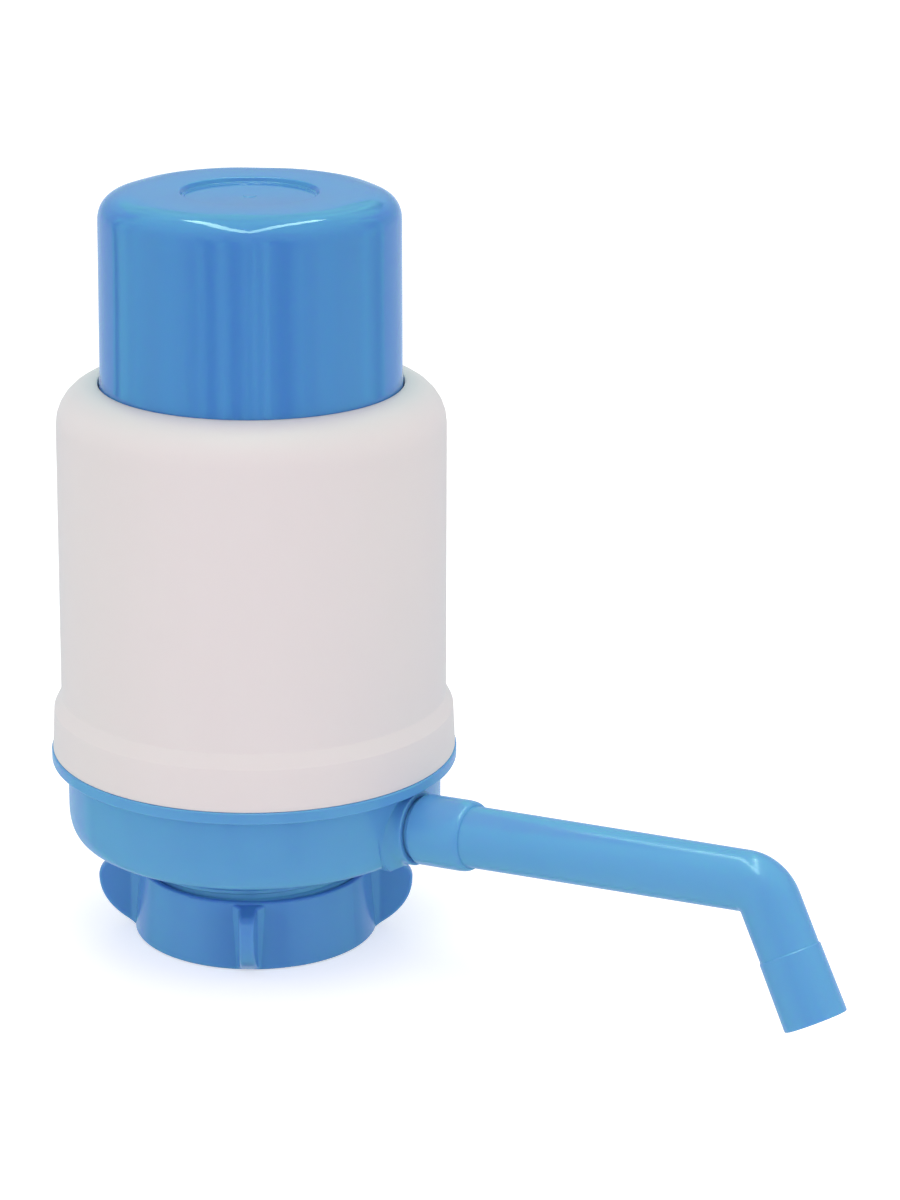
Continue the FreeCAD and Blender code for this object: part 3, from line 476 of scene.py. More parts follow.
ring_middle = (PLUG_END + BOSS_RIM_AT) / 2 + RING_SHIFT
snap_at = PLUG_END + SNAP_FROM_END
outside = [
    (PLUG_R, PLUG_END, 0.5),
    (PLUG_R, snap_at - SNAP_HALF),
    (PLUG_R + SNAP_RISE, snap_at, 0.3),
    (PLUG_R, snap_at + SNAP_HALF),
    *o_ring_groove(ring_middle - RING_FROM_MIDDLE),
    *o_ring_groove(ring_middle + RING_FROM_MIDDLE),
    (PLUG_R, SHAFT_START, 0.3),
    (SHAFT_R, SHAFT_START, 0.3),
    (SHAFT_R, SLEEVE_START, 0.2),
    (SLEEVE_R, SLEEVE_START, 0.9),
    (SLEEVE_R, SLEEVE_END, (SLEEVE_ROUND, (SLEEVE_R - ROOT_R) * SLEEVE_ROUND_SHARE)),
    (ROOT_R, SLEEVE_END, 0.18),
    *stations(SLEEVE_END, bend_from, ROOT_R, ELBOW_R, TAPER_STEPS),
    (ELBOW_R, bend_from),
    *stations(bend_from, leg_from, ELBOW_R, ELBOW_R, BEND_STEPS),
    (ELBOW_R, leg_from),
    (ELBOW_R, step_at, 0.12),
    (ELBOW_R + STEP_RISE, step_at + STEP_LENGTH, 0.25),
    (OUTLET_R, spout_end, 0.5),
]
inside = [
    (SPOUT_BORE, spout_end, 0.5),
    (SPOUT_BORE, leg_from),
    *stations(leg_from, bend_from, SPOUT_BORE, SPOUT_BORE, BEND_STEPS),
    (SPOUT_BORE, bend_from),
    (SPOUT_BORE, SHAFT_START),
    (PLUG_BORE, SHAFT_START),
    (PLUG_BORE, PLUG_END, 0.3),
]
spout_shape = turned(bmesh.new(), outside + inside, steps=112)
print("straight spout has", len(spout_shape.verts), "points")

# %% Bend it and put it in the boss


def joint_called(name):
    """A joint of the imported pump, with its place, axis and range."""
    return next(joint for joint in frame["joints"] if joint["name"] == name)


def bent(point):
    """A point of the straight spout, which runs along Z, moved to where the bent one has it."""
    along, side, rise = point.z / MM, point.y, point.x
    if along <= bend_from:
        return Vector((point.z, side, rise))
    angle = min((along - bend_from) / BEND_R, SPOUT_BEND)
    beyond = max(0.0, along - leg_from) * MM
    lever = rise + BEND_R * MM
    return Vector((
        bend_from * MM + beyond * math.cos(angle) + lever * math.sin(angle),
        side,
        -BEND_R * MM - beyond * math.sin(angle) + lever * math.cos(angle)))


for vert in spout_shape.verts:
    vert.co = bent(vert.co)
spout_mesh = finished_mesh(spout_shape, "spout_moulding")
swivel = joint_called("spout_swivel")
spout_axis = Vector(swivel["axis"])
across = Vector((0, 1, 0))
in_boss = Matrix((spout_axis, across, spout_axis.cross(across))).transposed().to_4x4()
spout_place = Matrix.Translation(swivel["pos_m"]) @ in_boss @ Matrix.Rotation(SPOUT_TURN, 4, "X")
piece("spout_skin", spout_mesh, "spout", "blue", ["spout_tube"], place=spout_place)
reach = [spout_place @ vert.co / MM for vert in spout_mesh.vertices]
print("spout skin reaches x", round(max(p.x for p in reach), 2), "solid", round(high("spout_tube").x, 2),
      "lowest z", round(min(p.z for p in reach), 2), "solid", round(low("spout_tube").z, 2),
      "nearest y", round(min(p.y for p in reach), 2), "solid", round(low("spout_tube").y, 2))

# %% [markdown]
# ## The bellows
# The bellows is blown from soft polyethylene, so no fold of it is sharp: each crest and each
# root rolls over, with a wide round on its convex side and a tight one inside. It hides in the
# housing, but it is what the pump is. The cuff at the top is gripped by the head, so
# it keeps its height: it is a piece of its own that rides on the cap, and meets the folds at
# their last root.

# %% Folds that roll over
BELLOWS_FOOT = low("bellows").z
BELLOWS_TOP = high("bellows").z
BELLOWS_FOOT_R = high("bellows").x
FOLDS = 8
FOLD_OUTER_R = 42.0
FOLD_INNER_R = 34.8
BELLOWS_WALL = 1.3
CUFF_HEIGHT = 7.0
CUFF_R = 34.6
FOOT_THICKNESS = 1.6
CONVEX_ROUND, CONCAVE_ROUND = 1.5, 0.6

folds_from = BELLOWS_FOOT + FOOT_THICKNESS
folds_to = BELLOWS_TOP - CUFF_HEIGHT
pitch = (folds_to - folds_from) / FOLDS
across_wall = BELLOWS_WALL * math.hypot(FOLD_OUTER_R - FOLD_INNER_R, pitch / 2) / (pitch / 2)
outer_fold = [
    (BELLOWS_FOOT_R, BELLOWS_FOOT, 0.3),
    (BELLOWS_FOOT_R, folds_from, 0.3),
    (FOLD_INNER_R, folds_from, 0.5),
]
inner_fold = [
    (FOLD_INNER_R - BELLOWS_WALL, BELLOWS_FOOT, 0.3),
    (FOLD_INNER_R - BELLOWS_WALL, folds_from, 0.5),
]
for fold in range(FOLDS):
    crest = folds_from + (fold + 0.5) * pitch
    outer_fold.append((FOLD_OUTER_R, crest, CONVEX_ROUND))
    inner_fold.append((FOLD_OUTER_R - across_wall, crest, CONCAVE_ROUND))
    if fold < FOLDS - 1:
        root = crest + pitch / 2
        outer_fold.append((FOLD_INNER_R, root, CONCAVE_ROUND))
        inner_fold.append((FOLD_INNER_R - across_wall, root, CONVEX_ROUND))
outer_fold.append((CUFF_R, folds_to))
inner_fold.append((CUFF_R - BELLOWS_WALL, folds_to))
bellows_shape = turned(bmesh.new(), outer_fold + inner_fold[::-1], steps=144)
bellows_mesh = finished_mesh(bellows_shape, "bellows_blown")
bellows = piece("bellows_folds", bellows_mesh, "root", "bellows", ["bellows"])
cuff_shape = turned(bmesh.new(), [
    (CUFF_R, folds_to),
    (CUFF_R, BELLOWS_TOP, 0.2),
    (CUFF_R - BELLOWS_WALL, BELLOWS_TOP, 0.2),
    (CUFF_R - BELLOWS_WALL, folds_to),
], steps=144)
cuff_mesh = finished_mesh(cuff_shape, "bellows_cuff_blown")
piece("bellows_cuff", cuff_mesh, "cap", "bellows", ["bellows"])

# %% Holes for the clamp screws
SCREW_COUNT = 6
SCREW_TURN = 30
SCREW_INSET = 2.8
SCREW_CIRCLE_R = BELLOWS_FOOT_R - SCREW_INSET
SCREW_HOLE_R = 1.65
HOLE_STEPS = 32


def screw_hole(shape):
    """Upright round bar on the screw circle, longer than the bellows' foot is thick."""
    foot, top = BELLOWS_FOOT - CUT_PAST, folds_from + CUT_PAST
    place = Matrix.Translation(Vector((SCREW_CIRCLE_R, 0, (foot + top) / 2)) * MM)
    bmesh.ops.create_cone(shape, cap_ends=True, segments=HOLE_STEPS, radius1=SCREW_HOLE_R * MM,
                          radius2=SCREW_HOLE_R * MM, depth=(top - foot) * MM, matrix=place)


holes = bmesh.new()
copied_round(holes, SCREW_COUNT, SCREW_TURN, screw_hole)
cut_from(bellows, holes)
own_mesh(bellows)

# %% [markdown]
# ## Rubber that seals
# Two umbrella valves let air through one way only. The real ones are thin mushrooms of
# silicone whose lip is turned down a little, so that it presses on its seat. The neck sleeve
# swells inward when the nut squeezes it. Each is a small turned piece with round edges.

# %% Umbrella valves
VALVE_R = 9.5
STEM_R = 1.9
BULB_R = 2.9
DOME_FLAT_R, DOME_RISE = 3.0, 1.8
LIP_THICKNESS, LIP_WIDTH = 0.8, 1.6
RELIEF_IN, RELIEF_DEPTH = 2.4, 0.25
STEM_FLARE = 0.6
BULB_END = 0.8
PLATE_THICKNESS = 3.0


def umbrella(name, body, node):
    """Valve under a plate: domed lip, stem through the plate and a bulb that holds it."""
    foot, top = low(node).z, high(node).z
    seat = foot + DOME_RISE
    shape = turned(bmesh.new(), [
        (0, foot),
        (DOME_FLAT_R, foot, 1.5),
        (VALVE_R, seat - LIP_THICKNESS, 0.35),
        (VALVE_R, seat, 0.2),
        (VALVE_R - LIP_WIDTH, seat, 0.2),
        (VALVE_R - RELIEF_IN, seat - RELIEF_DEPTH, 0.4),
        (STEM_R + STEM_FLARE, seat - RELIEF_DEPTH, 0.3),
        (STEM_R, seat, 0.2),
        (STEM_R, seat + PLATE_THICKNESS, 0.1),
        (BULB_R, seat + PLATE_THICKNESS, 0.5),
        (STEM_R * BULB_END, top, 0.8),
        (0, top),
    ], steps=64)
    piece(name, finished_mesh(shape, name + "_mesh"), body, "seal", [node])


umbrella("inlet_umbrella", "cap", "inlet_valve")
umbrella("outlet_umbrella", "root", "outlet_valve")

# %% Neck sleeve
SLEEVE_FOOT = low("neck_seal").z
SLEEVE_TOP = high("neck_seal").z
NECK_BORE_R = 28.0
SEAL_R = high("neck_seal").x
LEAD_IN = 0.3
LIP_FROM_END = 1.6
SLEEVE_WAIST = 0.35
sleeve_middle = (SLEEVE_FOOT + SLEEVE_TOP) / 2
sleeve_shape = turned(bmesh.new(), [
    (NECK_BORE_R + LEAD_IN, SLEEVE_FOOT, 0.3),
    (SEAL_R, SLEEVE_FOOT, 0.3),
    (SEAL_R, SLEEVE_TOP, 0.3),
    (NECK_BORE_R + LEAD_IN, SLEEVE_TOP, 0.3),
    (NECK_BORE_R, SLEEVE_TOP - LIP_FROM_END, 0.8),
    (NECK_BORE_R + SLEEVE_WAIST, sleeve_middle, 1.2),
    (NECK_BORE_R, SLEEVE_FOOT + LIP_FROM_END, 0.8),
], steps=128)
sleeve_mesh = finished_mesh(sleeve_shape, "neck_sleeve_mesh")
sleeve = piece("neck_sleeve", sleeve_mesh, "root", "seal", ["neck_seal"])
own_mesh(sleeve)

# %% [markdown]
# ## The ring of screws
# Six self-tapping screws hold the bellows down. A plain peg would do behind the housing, but on
# a bench the screws are what a person handles first, so each has a domed head with a cross
# recess, a thread that winds down the shank, and a point.

# %% One screw, six times
SCREW_R = 1.45
HEAD_R = 2.6
HEAD_HEIGHT = 1.9
DOME_DOWN, DOME_ACROSS = HEAD_HEIGHT * 0.8, HEAD_R * 0.75
THREAD_DEPTH = 0.32
THREAD_BURIED = 0.05
POINT_LENGTH = 2.2
RECESS_REACH, RECESS_HALF, RECESS_DEPTH = 1.45, 0.3, 1.1
screw_tip, screw_top = low("ring_screws").z, high("ring_screws").z
head_foot = screw_top - HEAD_HEIGHT
shank_r = SCREW_R - THREAD_DEPTH
SCREW_THREAD = {"core": shank_r, "depth": THREAD_DEPTH, "pitch": 1.1, "foot": screw_tip + 1.6,
                "top": head_foot - 1.0, "half_root": 0.28, "half_crest": 0.04, "steps": 20, "run_out": 14}


def screw_blank(shape):
    """Head, shank and point, turned about the screw's own axis."""
    turned(shape, [
        (0, screw_tip),
        (shank_r, screw_tip + POINT_LENGTH, 0.5),
        (shank_r, head_foot - 0.3, 0.2),
        (SCREW_R, head_foot, 0.1),
        (HEAD_R, head_foot, 0.15),
        (HEAD_R, screw_top, (DOME_DOWN, DOME_ACROSS)),
        (0, screw_top),
    ], steps=48)


def thread(shape, sizes):
    """Ridge that winds round a core: a wedge-shaped section swept along a helix, low at both ends."""
    turns = (sizes["top"] - sizes["foot"]) / sizes["pitch"]
    count = round(turns * sizes["steps"])
    rings = []
    for step in range(count + 1):
        angle = math.tau * turns * step / count
        rise = sizes["foot"] + sizes["pitch"] * turns * step / count
        fade = min(1.0, step / sizes["run_out"], (count - step) / sizes["run_out"])
        buried, crest = sizes["core"] - THREAD_BURIED, sizes["core"] + sizes["depth"] * fade
        section = ((buried, -sizes["half_root"]), (crest, -sizes["half_crest"]),
                   (crest, sizes["half_crest"]), (buried, sizes["half_root"]))
        rings.append([shape.verts.new((r * math.cos(angle) * MM, r * math.sin(angle) * MM, (rise + z) * MM))
                      for r, z in section])
    for first, second in zip(rings, rings[1:]):
        for index in range(len(first)):
            after = (index + 1) % len(first)
            shape.faces.new((first[index], first[after], second[after], second[index]))
    shape.faces.new(rings[0])
    shape.faces.new(rings[-1][::-1])


def cross_recess(shape):
    """Two crossed bars, whose cut takes a driver."""
    for x, y in ((RECESS_REACH, RECESS_HALF), (RECESS_HALF, RECESS_REACH)):
        block(shape, (-x, -y, screw_top - RECESS_DEPTH), (x, y, screw_top + CUT_PAST))


screw_shape = bmesh.new()
screw_blank(screw_shape)
screw = piece("one_screw", finished_mesh(screw_shape, "screw_blank"), "root", "steel")
recess = bmesh.new()
cross_recess(recess)
cut_from(screw, recess)
screws_shape = bmesh.new()


def placed_screw(shape):
    """Adds one finished screw with its thread, standing on the screw circle on the X axis."""
    known = set(shape.verts)
    shape.from_mesh(screw.data)
    thread(shape, SCREW_THREAD)
    new = [v for v in shape.verts if v not in known]
    bmesh.ops.translate(shape, verts=new, vec=(SCREW_CIRCLE_R * MM, 0, 0))


copied_round(screws_shape, SCREW_COUNT, SCREW_TURN, placed_screw)
bpy.data.objects.remove(screw)
screws_mesh = finished_mesh(screws_shape, "screws_mesh")
piece("cross_screws", screws_mesh, "root", "steel", ["ring_screws"])

# %% [markdown]
# ## The thread under the bowl
# The winged nut climbs a coarse thread on the skirt that hangs from the bowl. It shows in the
# open gap above the nut. The same sweep that made the screws' thread makes it, only larger and
# with two starts: a nut that has to close in less than half a turn needs a steep thread, and two
# ridges side by side carry it evenly.

# %% Two ridges round the skirt
SKIRT_R = 29.6
SKIRT_FOOT = low("base_bowl").z
NUT_LEAD = 6.0
THREAD_STARTS = 2
SKIRT_THREAD = {"core": SKIRT_R, "depth": 0.6, "pitch": NUT_LEAD, "foot": SKIRT_FOOT + 1.2,
                "top": SKIRT_FOOT + 15.2, "half_root": 0.95, "half_crest": 0.35, "steps": 120, "run_out": 20}
skirt_shape = bmesh.new()
copied_round(skirt_shape, THREAD_STARTS, 0, lambda shape: thread(shape, SKIRT_THREAD))
piece("skirt_thread", finished_mesh(skirt_shape, "skirt_thread_mesh"), "root", "blue")

# %% [markdown]
# ## What moulded plastic looks like
# Polypropylene from a mould is never one flat colour. Its pigment drifts a little along the flow,
# handling dulls the gloss in patches, and a very fine orange peel breaks up reflections. Painted
# image textures could show that, but they need unwrapping. Noise in a piece's own coordinates
# has a true size in metres and runs over every edge without a seam, so each finish is one
# Principled shader with noise in front of its colour, roughness and bump.

# %% Nodes that every finish shares


def noise(nodes, links, scale, detail=4.0, stretch=(1, 1, 1)):
    """Noise in the piece's own coordinates; scale is in features per metre."""
    place = nodes.new("ShaderNodeTexCoord")
    mapping = nodes.new("ShaderNodeMapping")
    mapping.inputs["Scale"].default_value = stretch
    texture = nodes.new("ShaderNodeTexNoise")
    texture.inputs["Scale"].default_value = scale
    texture.inputs["Detail"].default_value = detail
    links.new(place.outputs["Object"], mapping.inputs["Vector"])
    links.new(mapping.outputs["Vector"], texture.inputs["Vector"])
    return texture.outputs["Fac"]


def ranged(nodes, links, value, low_out, high_out, low_in=0.3, high_in=0.7):
    """A value stretched from one range to another and held at its ends."""
    span = nodes.new("ShaderNodeMapRange")
    span.inputs["From Min"].default_value = low_in
    span.inputs["From Max"].default_value = high_in
    span.inputs["To Min"].default_value = low_out
    span.inputs["To Max"].default_value = high_out
    links.new(value, span.inputs["Value"])
    return span.outputs["Result"]


def two_tone(nodes, links, value, first, second):
    """Colour between two pigments, steered by a value from 0 to 1."""
    blend = nodes.new("ShaderNodeMix")
    blend.data_type = "RGBA"
    blend.inputs["A"].default_value = (*first, 1)
    blend.inputs["B"].default_value = (*second, 1)
    links.new(value, blend.inputs["Factor"])
    return blend.outputs["Result"]


def srgb(red, green, blue):
    """Linear colour of a shade given as it looks on a screen, from 0 to 255."""
    def linear(value):
        value /= 255
        return value / 12.92 if value <= 0.04045 else ((value + 0.055) / 1.055) ** 2.4
    return tuple(linear(value) for value in (red, green, blue))


print("a middle grey of 128 is", round(srgb(128, 128, 128)[0], 3), "in linear light")

# %% [markdown]
# ## One maker for every plastic
# A moulded part gets its gloss from the polish of the mould, so roughness hardly changes from
# place to place: a range of a few hundredths is enough, and more looks dirty. Polypropylene
# also lets light in a little, which softens its shadows, so each finish has a share of subsurface
# light. In pale plastic all colours reach about as far. The blue pigment stops green light first,
# so what glows in its shadows leans to violet.

# %% Moulded plastic
PLASTIC_IOR = 1.49
PIGMENT_SCALE = 26
HANDLING_SCALE = 45
PEEL_HEIGHT = 0.0005
PALE_REACH = (1.0, 0.85, 0.75)
BLUE_REACH = (1.0, 0.12, 1.0)


def moulded(name, light, deep, gloss, peel=0.035, peel_scale=520, glow=0.1, reach=PALE_REACH, glow_mm=2.0,
            flow=(1, 1, 0.3)):
    """Moulded plastic or rubber: drifting pigment, patchy gloss and a fine orange peel."""
    material = bpy.data.materials.new(name)
    material.use_nodes = True
    nodes, links = material.node_tree.nodes, material.node_tree.links
    shader = nodes["Principled BSDF"]
    shader.inputs["IOR"].default_value = PLASTIC_IOR
    shader.inputs["Subsurface Weight"].default_value = glow
    shader.inputs["Subsurface Radius"].default_value = reach
    shader.inputs["Subsurface Scale"].default_value = glow_mm * MM
    pigment = ranged(nodes, links, noise(nodes, links, PIGMENT_SCALE, 5, flow), 0, 1)
    links.new(two_tone(nodes, links, pigment, deep, light), shader.inputs["Base Color"])
    handled = noise(nodes, links, HANDLING_SCALE, 5)
    links.new(ranged(nodes, links, handled, *gloss), shader.inputs["Roughness"])
    skin = nodes.new("ShaderNodeBump")
    skin.inputs["Strength"].default_value = peel
    skin.inputs["Distance"].default_value = PEEL_HEIGHT
    links.new(noise(nodes, links, peel_scale, 3), skin.inputs["Height"])
    links.new(skin.outputs["Normal"], shader.inputs["Normal"])
    return material


# %% The plastics and rubbers of this pump
BLUE_GLOW = {"glow": 0.35, "reach": BLUE_REACH, "glow_mm": 3.0}
CAP_BLUE = moulded("blue_polypropylene_cap", srgb(77, 139, 209), srgb(74, 135, 206), (0.045, 0.07),
                   peel=0.02, **BLUE_GLOW)
# painted light: this blue is lighter than the bowl's, standing for the light on the spout's top
SPOUT_BLUE = moulded("blue_polypropylene_spout", srgb(98, 163, 220), srgb(96, 161, 219), (0.2, 0.24),
                     **BLUE_GLOW)
BOWL_BLUE = moulded("blue_polypropylene_bowl", srgb(96, 160, 217), srgb(94, 158, 216), (0.2, 0.24),
                    **BLUE_GLOW)
# painted shade: this blue is darker than the bowl's, standing for the shade under the bowl
NUT_BLUE = moulded("blue_polypropylene_nut", srgb(91, 149, 217), srgb(89, 147, 215), (0.22, 0.26),
                   **BLUE_GLOW)
WHITE = moulded("white_polypropylene", srgb(235, 223, 226), srgb(233, 221, 224), (0.5, 0.56))
NATURAL = moulded("natural_polypropylene", srgb(224, 226, 222), srgb(216, 219, 215), (0.3, 0.38), glow=0.25)
BELLOWS = moulded("bellows_polyethylene", srgb(206, 214, 218), srgb(194, 203, 209), (0.42, 0.52), glow=0.2)
SILICONE = moulded("food_grade_silicone", srgb(222, 222, 214), srgb(213, 213, 204), (0.5, 0.6),
                   peel=0.06, glow=0.3)
print("made", [m.name for m in bpy.data.materials])

# %% [markdown]
# ## Stainless steel
# The screws are rolled and tumbled, so they are bright but not mirrors. A metal has almost no
# colour of its own, and what makes it look like steel is roughness that changes within a
# millimetre.

# %% Steel of the screws
STEEL_TONE_SCALE = 300
TUMBLING_SCALE = 900
STEEL_GLOSS = (0.22, 0.4)


def screw_steel():
    """Stainless steel with fine tumbling marks."""
    material = bpy.data.materials.new("stainless_steel")
    material.use_nodes = True
    nodes, links = material.node_tree.nodes, material.node_tree.links
    shader = nodes["Principled BSDF"]
    shader.inputs["Metallic"].default_value = 1.0
    tone = ranged(nodes, links, noise(nodes, links, STEEL_TONE_SCALE, 4), 0, 1)
    colour = two_tone(nodes, links, tone, srgb(186, 190, 196), srgb(206, 209, 213))
    links.new(colour, shader.inputs["Base Color"])
    tumbled = ranged(nodes, links, noise(nodes, links, TUMBLING_SCALE, 2), *STEEL_GLOSS)
    links.new(tumbled, shader.inputs["Roughness"])
    return material


STEEL = screw_steel()
print("made", STEEL.name)

# %% [markdown]
# ## Four shots of one blue, with painted light
# The four blue mouldings come from four tools and often from four days, so their blue is never
# quite one. One shared material would be tidier, but it makes the pump look cast in
# one piece. Each piece of the blue slot has its own shade, and the cap, which came from the best
# polished tool, has the most gloss. The shades also carry painted light and shade: the spout's blue
# is lighter for the light on its upturned top, and the nut's is darker for the shade under the bowl.

# %% Dress every piece
FINISH_OF_SLOT = {"blue": BOWL_BLUE, "white": WHITE, "natural": NATURAL, "bellows": BELLOWS,
                  "seal": SILICONE, "steel": STEEL}
FINISH_OF_PIECE = {"press_cap": CAP_BLUE, "cap_skin": CAP_BLUE, "spout_tube": SPOUT_BLUE,
                   "spout_skin": SPOUT_BLUE, "wing_nut": NUT_BLUE}


def dress(dressed, finish):
    """Gives a piece one finish."""
    dressed.data.materials.clear()
    dressed.data.materials.append(finish)


for row in frame["record"]["subparts"]:
    node = row["node"]
    dress(frame["nodes"][node], FINISH_OF_PIECE.get(node, FINISH_OF_SLOT[row["material_slot"]]))
skins = [name for name in slot_of_skin if name in bpy.data.objects]
for name in skins:
    dress(bpy.data.objects[name], FINISH_OF_PIECE.get(name, FINISH_OF_SLOT[slot_of_skin[name]]))
print("dressed", len(frame["nodes"]), "solids and", len(skins), "skins")

# %% [markdown]
# ## The studio: white paper and air
# The pump stands on white paper, so light comes back up from below and the shadow under the nut
# is soft. A curved backdrop would also do, but a large flat sheet and a white world meet without
# a horizon. The paper is lifted to full white for the camera only, so it doesn't throw
# extra light on the object. Its own shade is a little pink, because the blue plastic tints the
# shadow beside it.

# %% Paper floor
PAPER_SHADE = (0.87, 0.80, 0.83)
PAPER_ROUGHNESS = 0.7
PAPER_LIFT = 0.5
PAPER_HALF = 6.0
PAPER_DROP = 0.0002


def paper(name):
    """White paper that keeps shadows; the camera sees it lifted to white."""
    material = bpy.data.materials.new(name)
    material.use_nodes = True
    nodes, links = material.node_tree.nodes, material.node_tree.links
    shader = nodes["Principled BSDF"]
    shader.inputs["Base Color"].default_value = (*PAPER_SHADE, 1)
    shader.inputs["Roughness"].default_value = PAPER_ROUGHNESS
    shader.inputs["Emission Color"].default_value = (1, 1, 1, 1)
    path = nodes.new("ShaderNodeLightPath")
    lift = nodes.new("ShaderNodeMath")
    lift.operation = "MULTIPLY"
    lift.inputs[1].default_value = PAPER_LIFT
    links.new(path.outputs["Is Camera Ray"], lift.inputs[0])
    links.new(lift.outputs[0], shader.inputs["Emission Strength"])
    return material


floor_corners = [(x * PAPER_HALF, y * PAPER_HALF, 0) for x, y in ((-1, -1), (1, -1), (1, 1), (-1, 1))]
floor_mesh = bpy.data.meshes.new("floor")
floor_mesh.from_pydata(floor_corners, [], [(0, 1, 2, 3)])
floor = bpy.data.objects.new("floor", floor_mesh)
floor.location.z = -PAPER_DROP
bpy.context.scene.collection.objects.link(floor)
floor.visible_glossy = False
dress(floor, paper("floor_paper"))
print("the paper is", 2 * PAPER_HALF, "metres wide")

# %% [markdown]
# ## A camera with a long lens
# Product pictures are taken from far off with a long lens, because a near camera makes the top
# of a round object swell. The camera stands about a metre away and looks a little down, so the
# dish in the cap shows as a flat ellipse. Its place and heading are set by a matrix, which
# leaves no doubt about roll.

# %% Camera
VIEW_PLACE = (0.5430, -0.7613, 0.39635)
VIEW_HEADING = math.radians(122.25)
VIEW_PITCH = math.radians(-17.93)
VIEW_ROLL = math.radians(0.47)
FILM_WIDTH_MM = 36
LENS_MM = 145.59
NEAREST_VIEW = 0.05
camera_data = bpy.data.cameras.new("camera")
camera_data.sensor_fit = "HORIZONTAL"
camera_data.sensor_width = FILM_WIDTH_MM
camera_data.lens = LENS_MM
camera_data.clip_start = NEAREST_VIEW
camera = bpy.data.objects.new("camera", camera_data)
bpy.context.scene.collection.objects.link(camera)
pan = Matrix.Rotation(VIEW_HEADING - math.pi / 2, 4, "Z")
tilt = Matrix.Rotation(VIEW_PITCH + math.pi / 2, 4, "X")
level = pan @ tilt
camera.matrix_world = Matrix.Translation(VIEW_PLACE) @ level @ Matrix.Rotation(VIEW_ROLL, 4, "Z")
bpy.context.scene.camera = camera
view_way = Vector((math.cos(VIEW_HEADING), math.sin(VIEW_HEADING), 0))
print("camera looks along", [round(v, 3) for v in camera.matrix_world.to_3x3() @ Vector((0, 0, -1))])

# %% [markdown]
# ## Reflections shaped by the room
# Shiny plastic is drawn by what it reflects. In a photo studio the far side of the table is
# bright paper with an edge, the side walls are pale, the ceiling is lit and the photographer's
# side is dark. A world that is one grey would show the same grey everywhere and the cap would
# look like clay. Here a reflected ray sees a wide panel that leans back behind the pump and is
# bright below the horizon and along its rim, pale side walls with streaks of light, a bright
# ceiling and a dark front. All other rays see one even white light.

# %% World
EVEN_LIGHT = 0.67
PANEL_LOW, PANEL_HIGH, PANEL_RIM = (0.62, 0.78, 0.97), (0.42, 0.62, 0.72), (0.44, 0.86, 0.98)
SIDES, FRONT, DIM = (0.55, 1.25, 0.7), (0.05, 0.05, 0.1), (0.15, 0.2, 0.2)
STREAK_LIGHT, STREAK_SCALE, STREAK_STRETCH = (0.5, 1.5, 1.1), 5.0, (1, 1, 0.05)
CEILING_BACK, CEILING_FRONT = (0.8, 2.6, 1.3), (0.7, 1.4, 0.8)
FRONT_FADE, WALL_FADE, STREAK_FADE = (-0.85, -0.55), (0.0, 0.5), (0.4, 0.62)
CEILING_FADE, ROOF_FADE, HORIZON_FADE = (-0.5, -0.35), (0.3, 1.0), (-0.1, 0.1)
PANEL_HALF_ANGLE = math.radians(57)
PANEL_RISE = math.radians(18)
PANEL_LEAN = 0.9
PANEL_EDGE = math.cos(PANEL_HALF_ANGLE)
PANEL_TOP = math.sin(PANEL_RISE) + PANEL_LEAN * math.cos(PANEL_RISE)
RIM_FADE = (PANEL_TOP - 0.12, PANEL_TOP)
EDGE_BLUR = 0.004
world = bpy.data.worlds.new("studio")
bpy.context.scene.world = world
world.use_nodes = True
nodes, links = world.node_tree.nodes, world.node_tree.links


def along(direction):
    """How far a ray that meets the world runs along a direction, from -1 to 1."""
    place = nodes.new("ShaderNodeTexCoord")
    dot = nodes.new("ShaderNodeVectorMath")
    dot.operation = "DOT_PRODUCT"
    dot.inputs[1].default_value = direction
    links.new(place.outputs["Generated"], dot.inputs[0])
    return dot.outputs["Value"]


def mixed(value, first, second):
    """Blend of two colours of the world; each is three numbers or the output of a node."""
    blend = two_tone(nodes, links, value, (0, 0, 0), (0, 0, 0))
    for socket, shade in (("A", first), ("B", second)):
        if isinstance(shade, tuple):
            blend.node.inputs[socket].default_value = (*shade, 1)
        else:
            links.new(shade, blend.node.inputs[socket])
    return blend


towards_back = along(view_way)
upwards = along((0, 0, 1))
in_front = ranged(nodes, links, towards_back, 1, 0, *FRONT_FADE)
near_panel = ranged(nodes, links, towards_back, 0, 1, *WALL_FADE)
streaks = ranged(nodes, links, noise(nodes, links, STREAK_SCALE, 3, STREAK_STRETCH), 0, 1, *STREAK_FADE)
walls = mixed(streaks, mixed(in_front, mixed(near_panel, SIDES, DIM), FRONT), STREAK_LIGHT)
ceiling = mixed(ranged(nodes, links, towards_back, 0, 1, *CEILING_FADE), CEILING_FRONT, CEILING_BACK)
room = mixed(ranged(nodes, links, upwards, 0, 1, *ROOF_FADE), walls, ceiling)
leaning = along(view_way * PANEL_LEAN + Vector((0, 0, 1)))
panel_back = mixed(ranged(nodes, links, upwards, 0, 1, *HORIZON_FADE), PANEL_LOW, PANEL_HIGH)
panel = mixed(ranged(nodes, links, leaning, 0, 1, *RIM_FADE), panel_back, PANEL_RIM)
is_behind = ranged(nodes, links, towards_back, 0, 1, PANEL_EDGE - EDGE_BLUR, PANEL_EDGE + EDGE_BLUR)
is_below = ranged(nodes, links, leaning, 1, 0, PANEL_TOP - EDGE_BLUR, PANEL_TOP + EDGE_BLUR)
mirrored = mixed(is_below, room, mixed(is_behind, room, panel))
path = nodes.new("ShaderNodeLightPath")
lit = mixed(path.outputs["Is Glossy Ray"], (EVEN_LIGHT, EVEN_LIGHT, EVEN_LIGHT), mirrored)
links.new(mixed(path.outputs["Is Camera Ray"], lit, (1, 1, 1)), nodes["Background"].inputs["Color"])
print("the mirrored panel reaches", round(math.degrees(PANEL_HALF_ANGLE)), "degrees to either side")

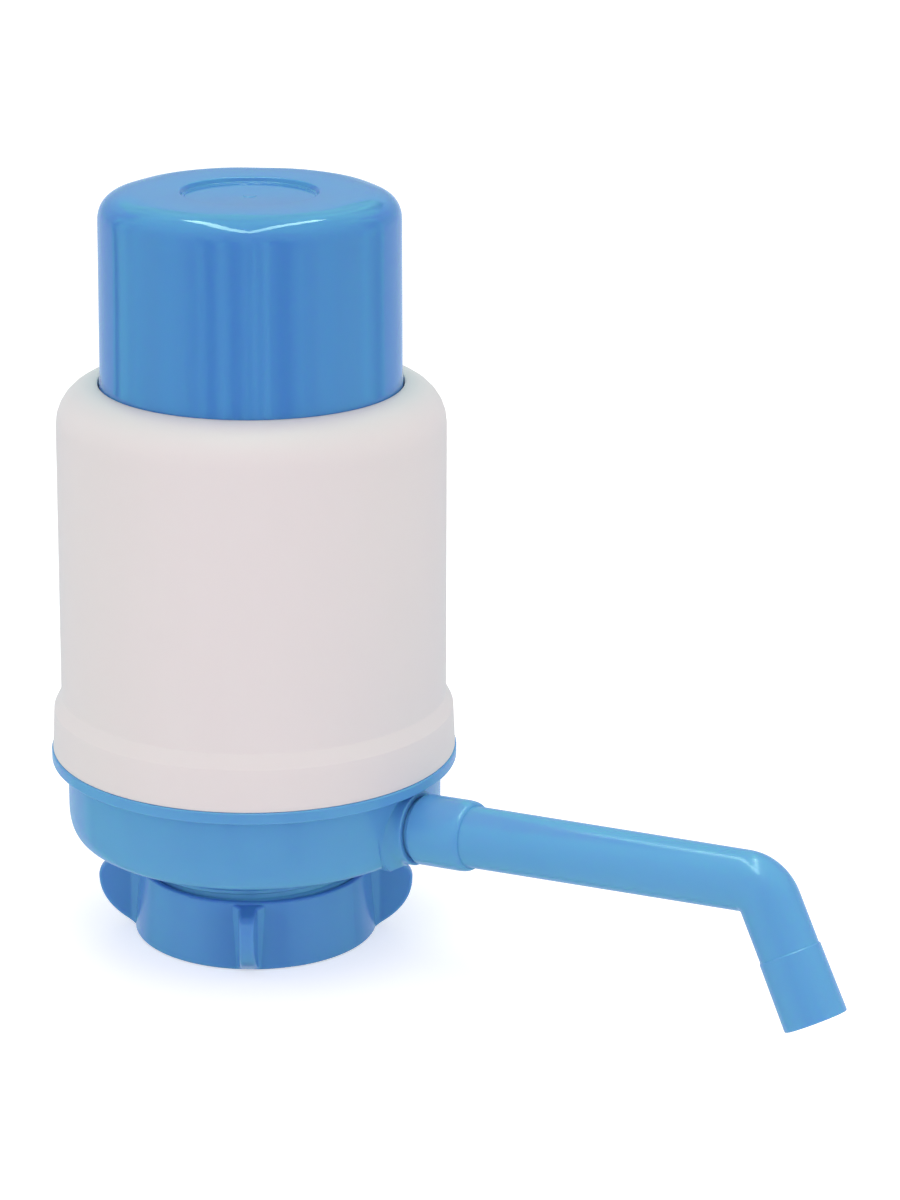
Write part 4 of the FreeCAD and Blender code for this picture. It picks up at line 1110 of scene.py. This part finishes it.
# %% [markdown]
# ## Strips, tubes and fills
# Two long strip lights hang in a V over the pump. A narrow tube hangs under each, and the
# reflections of the tubes are the two bright strokes that meet on the cap's top edge. An area
# lamp is used and not a sun, because the size of the lamp is the size of its reflection. The wide
# strips would reflect as broad bands, so they only light the surfaces, and the tubes only
# show in reflections. Two low fills in front take the gloom off the upright walls, and are kept
# out of reflections too. The Standard view transform then shows each colour as it was mixed.

# %% Lamps
TARGET = (0, 0, 0.12)


def softbox(name, spot, size, power, target=TARGET, mirrored=True, turn=0.0):
    """Rectangular lamp at a place, aimed at the pump and turned about its own axis."""
    data = bpy.data.lights.new(name, "AREA")
    data.shape = "RECTANGLE"
    data.size, data.size_y = size
    data.energy = power
    lamp = bpy.data.objects.new(name, data)
    bpy.context.scene.collection.objects.link(lamp)
    lamp.matrix_world = (Matrix.Translation(spot)
                         @ (Vector(target) - Vector(spot)).to_track_quat("-Z", "Y").to_matrix().to_4x4()
                         @ Matrix.Rotation(turn, 4, "Z"))
    lamp.visible_glossy = mirrored
    print(name, "gives", power, "W")
    return lamp


STRIP_HEIGHT = 1.4
STRIP_WIDTH, STRIP_POWER = 0.5, 3.0
TUBE_WIDTH, TUBE_POWER, TUBE_COLOUR = 0.13, 5.2, (0.65, 1.0, 0.8)
TUBE_DROP = Vector((0, 0, 0.03))
STRIP_APEX = Vector((0.30, -0.48, STRIP_HEIGHT))
STRIP_ENDS = {"left": Vector((-0.7425, 0.5152, STRIP_HEIGHT)),
              "right": Vector((-0.1455, 0.892, STRIP_HEIGHT))}
for side, end in STRIP_ENDS.items():
    middle = (STRIP_APEX + end) / 2
    run = end - STRIP_APEX
    under = middle - Vector((0, 0, 1))
    turn = math.atan2(run.y, run.x)
    strip_size, tube_size = (run.length, STRIP_WIDTH), (run.length, TUBE_WIDTH)
    softbox("strip_" + side, middle, strip_size, STRIP_POWER, under, mirrored=False, turn=turn)
    tube = softbox("tube_" + side, middle - TUBE_DROP, tube_size, TUBE_POWER, under, turn=turn)
    tube.data.color = TUBE_COLOUR
    tube.visible_diffuse = False

# %% Fills, and plain colours
FILL_HEIGHT = 0.35
FILL_AWAY = 1.4
FILL_SIZE = (0.8, 0.5)
FILL_POWER = 3.0
FILL_SWEEP = {"fill_left": math.radians(-50), "fill_right": math.radians(50)}
for name, sweep in FILL_SWEEP.items():
    towards = Matrix.Rotation(sweep, 3, "Z") @ -view_way
    spot = towards * FILL_AWAY + Vector((0, 0, FILL_HEIGHT))
    softbox(name, spot, FILL_SIZE, FILL_POWER, mirrored=False)
bpy.context.scene.view_settings.view_transform = "Standard"
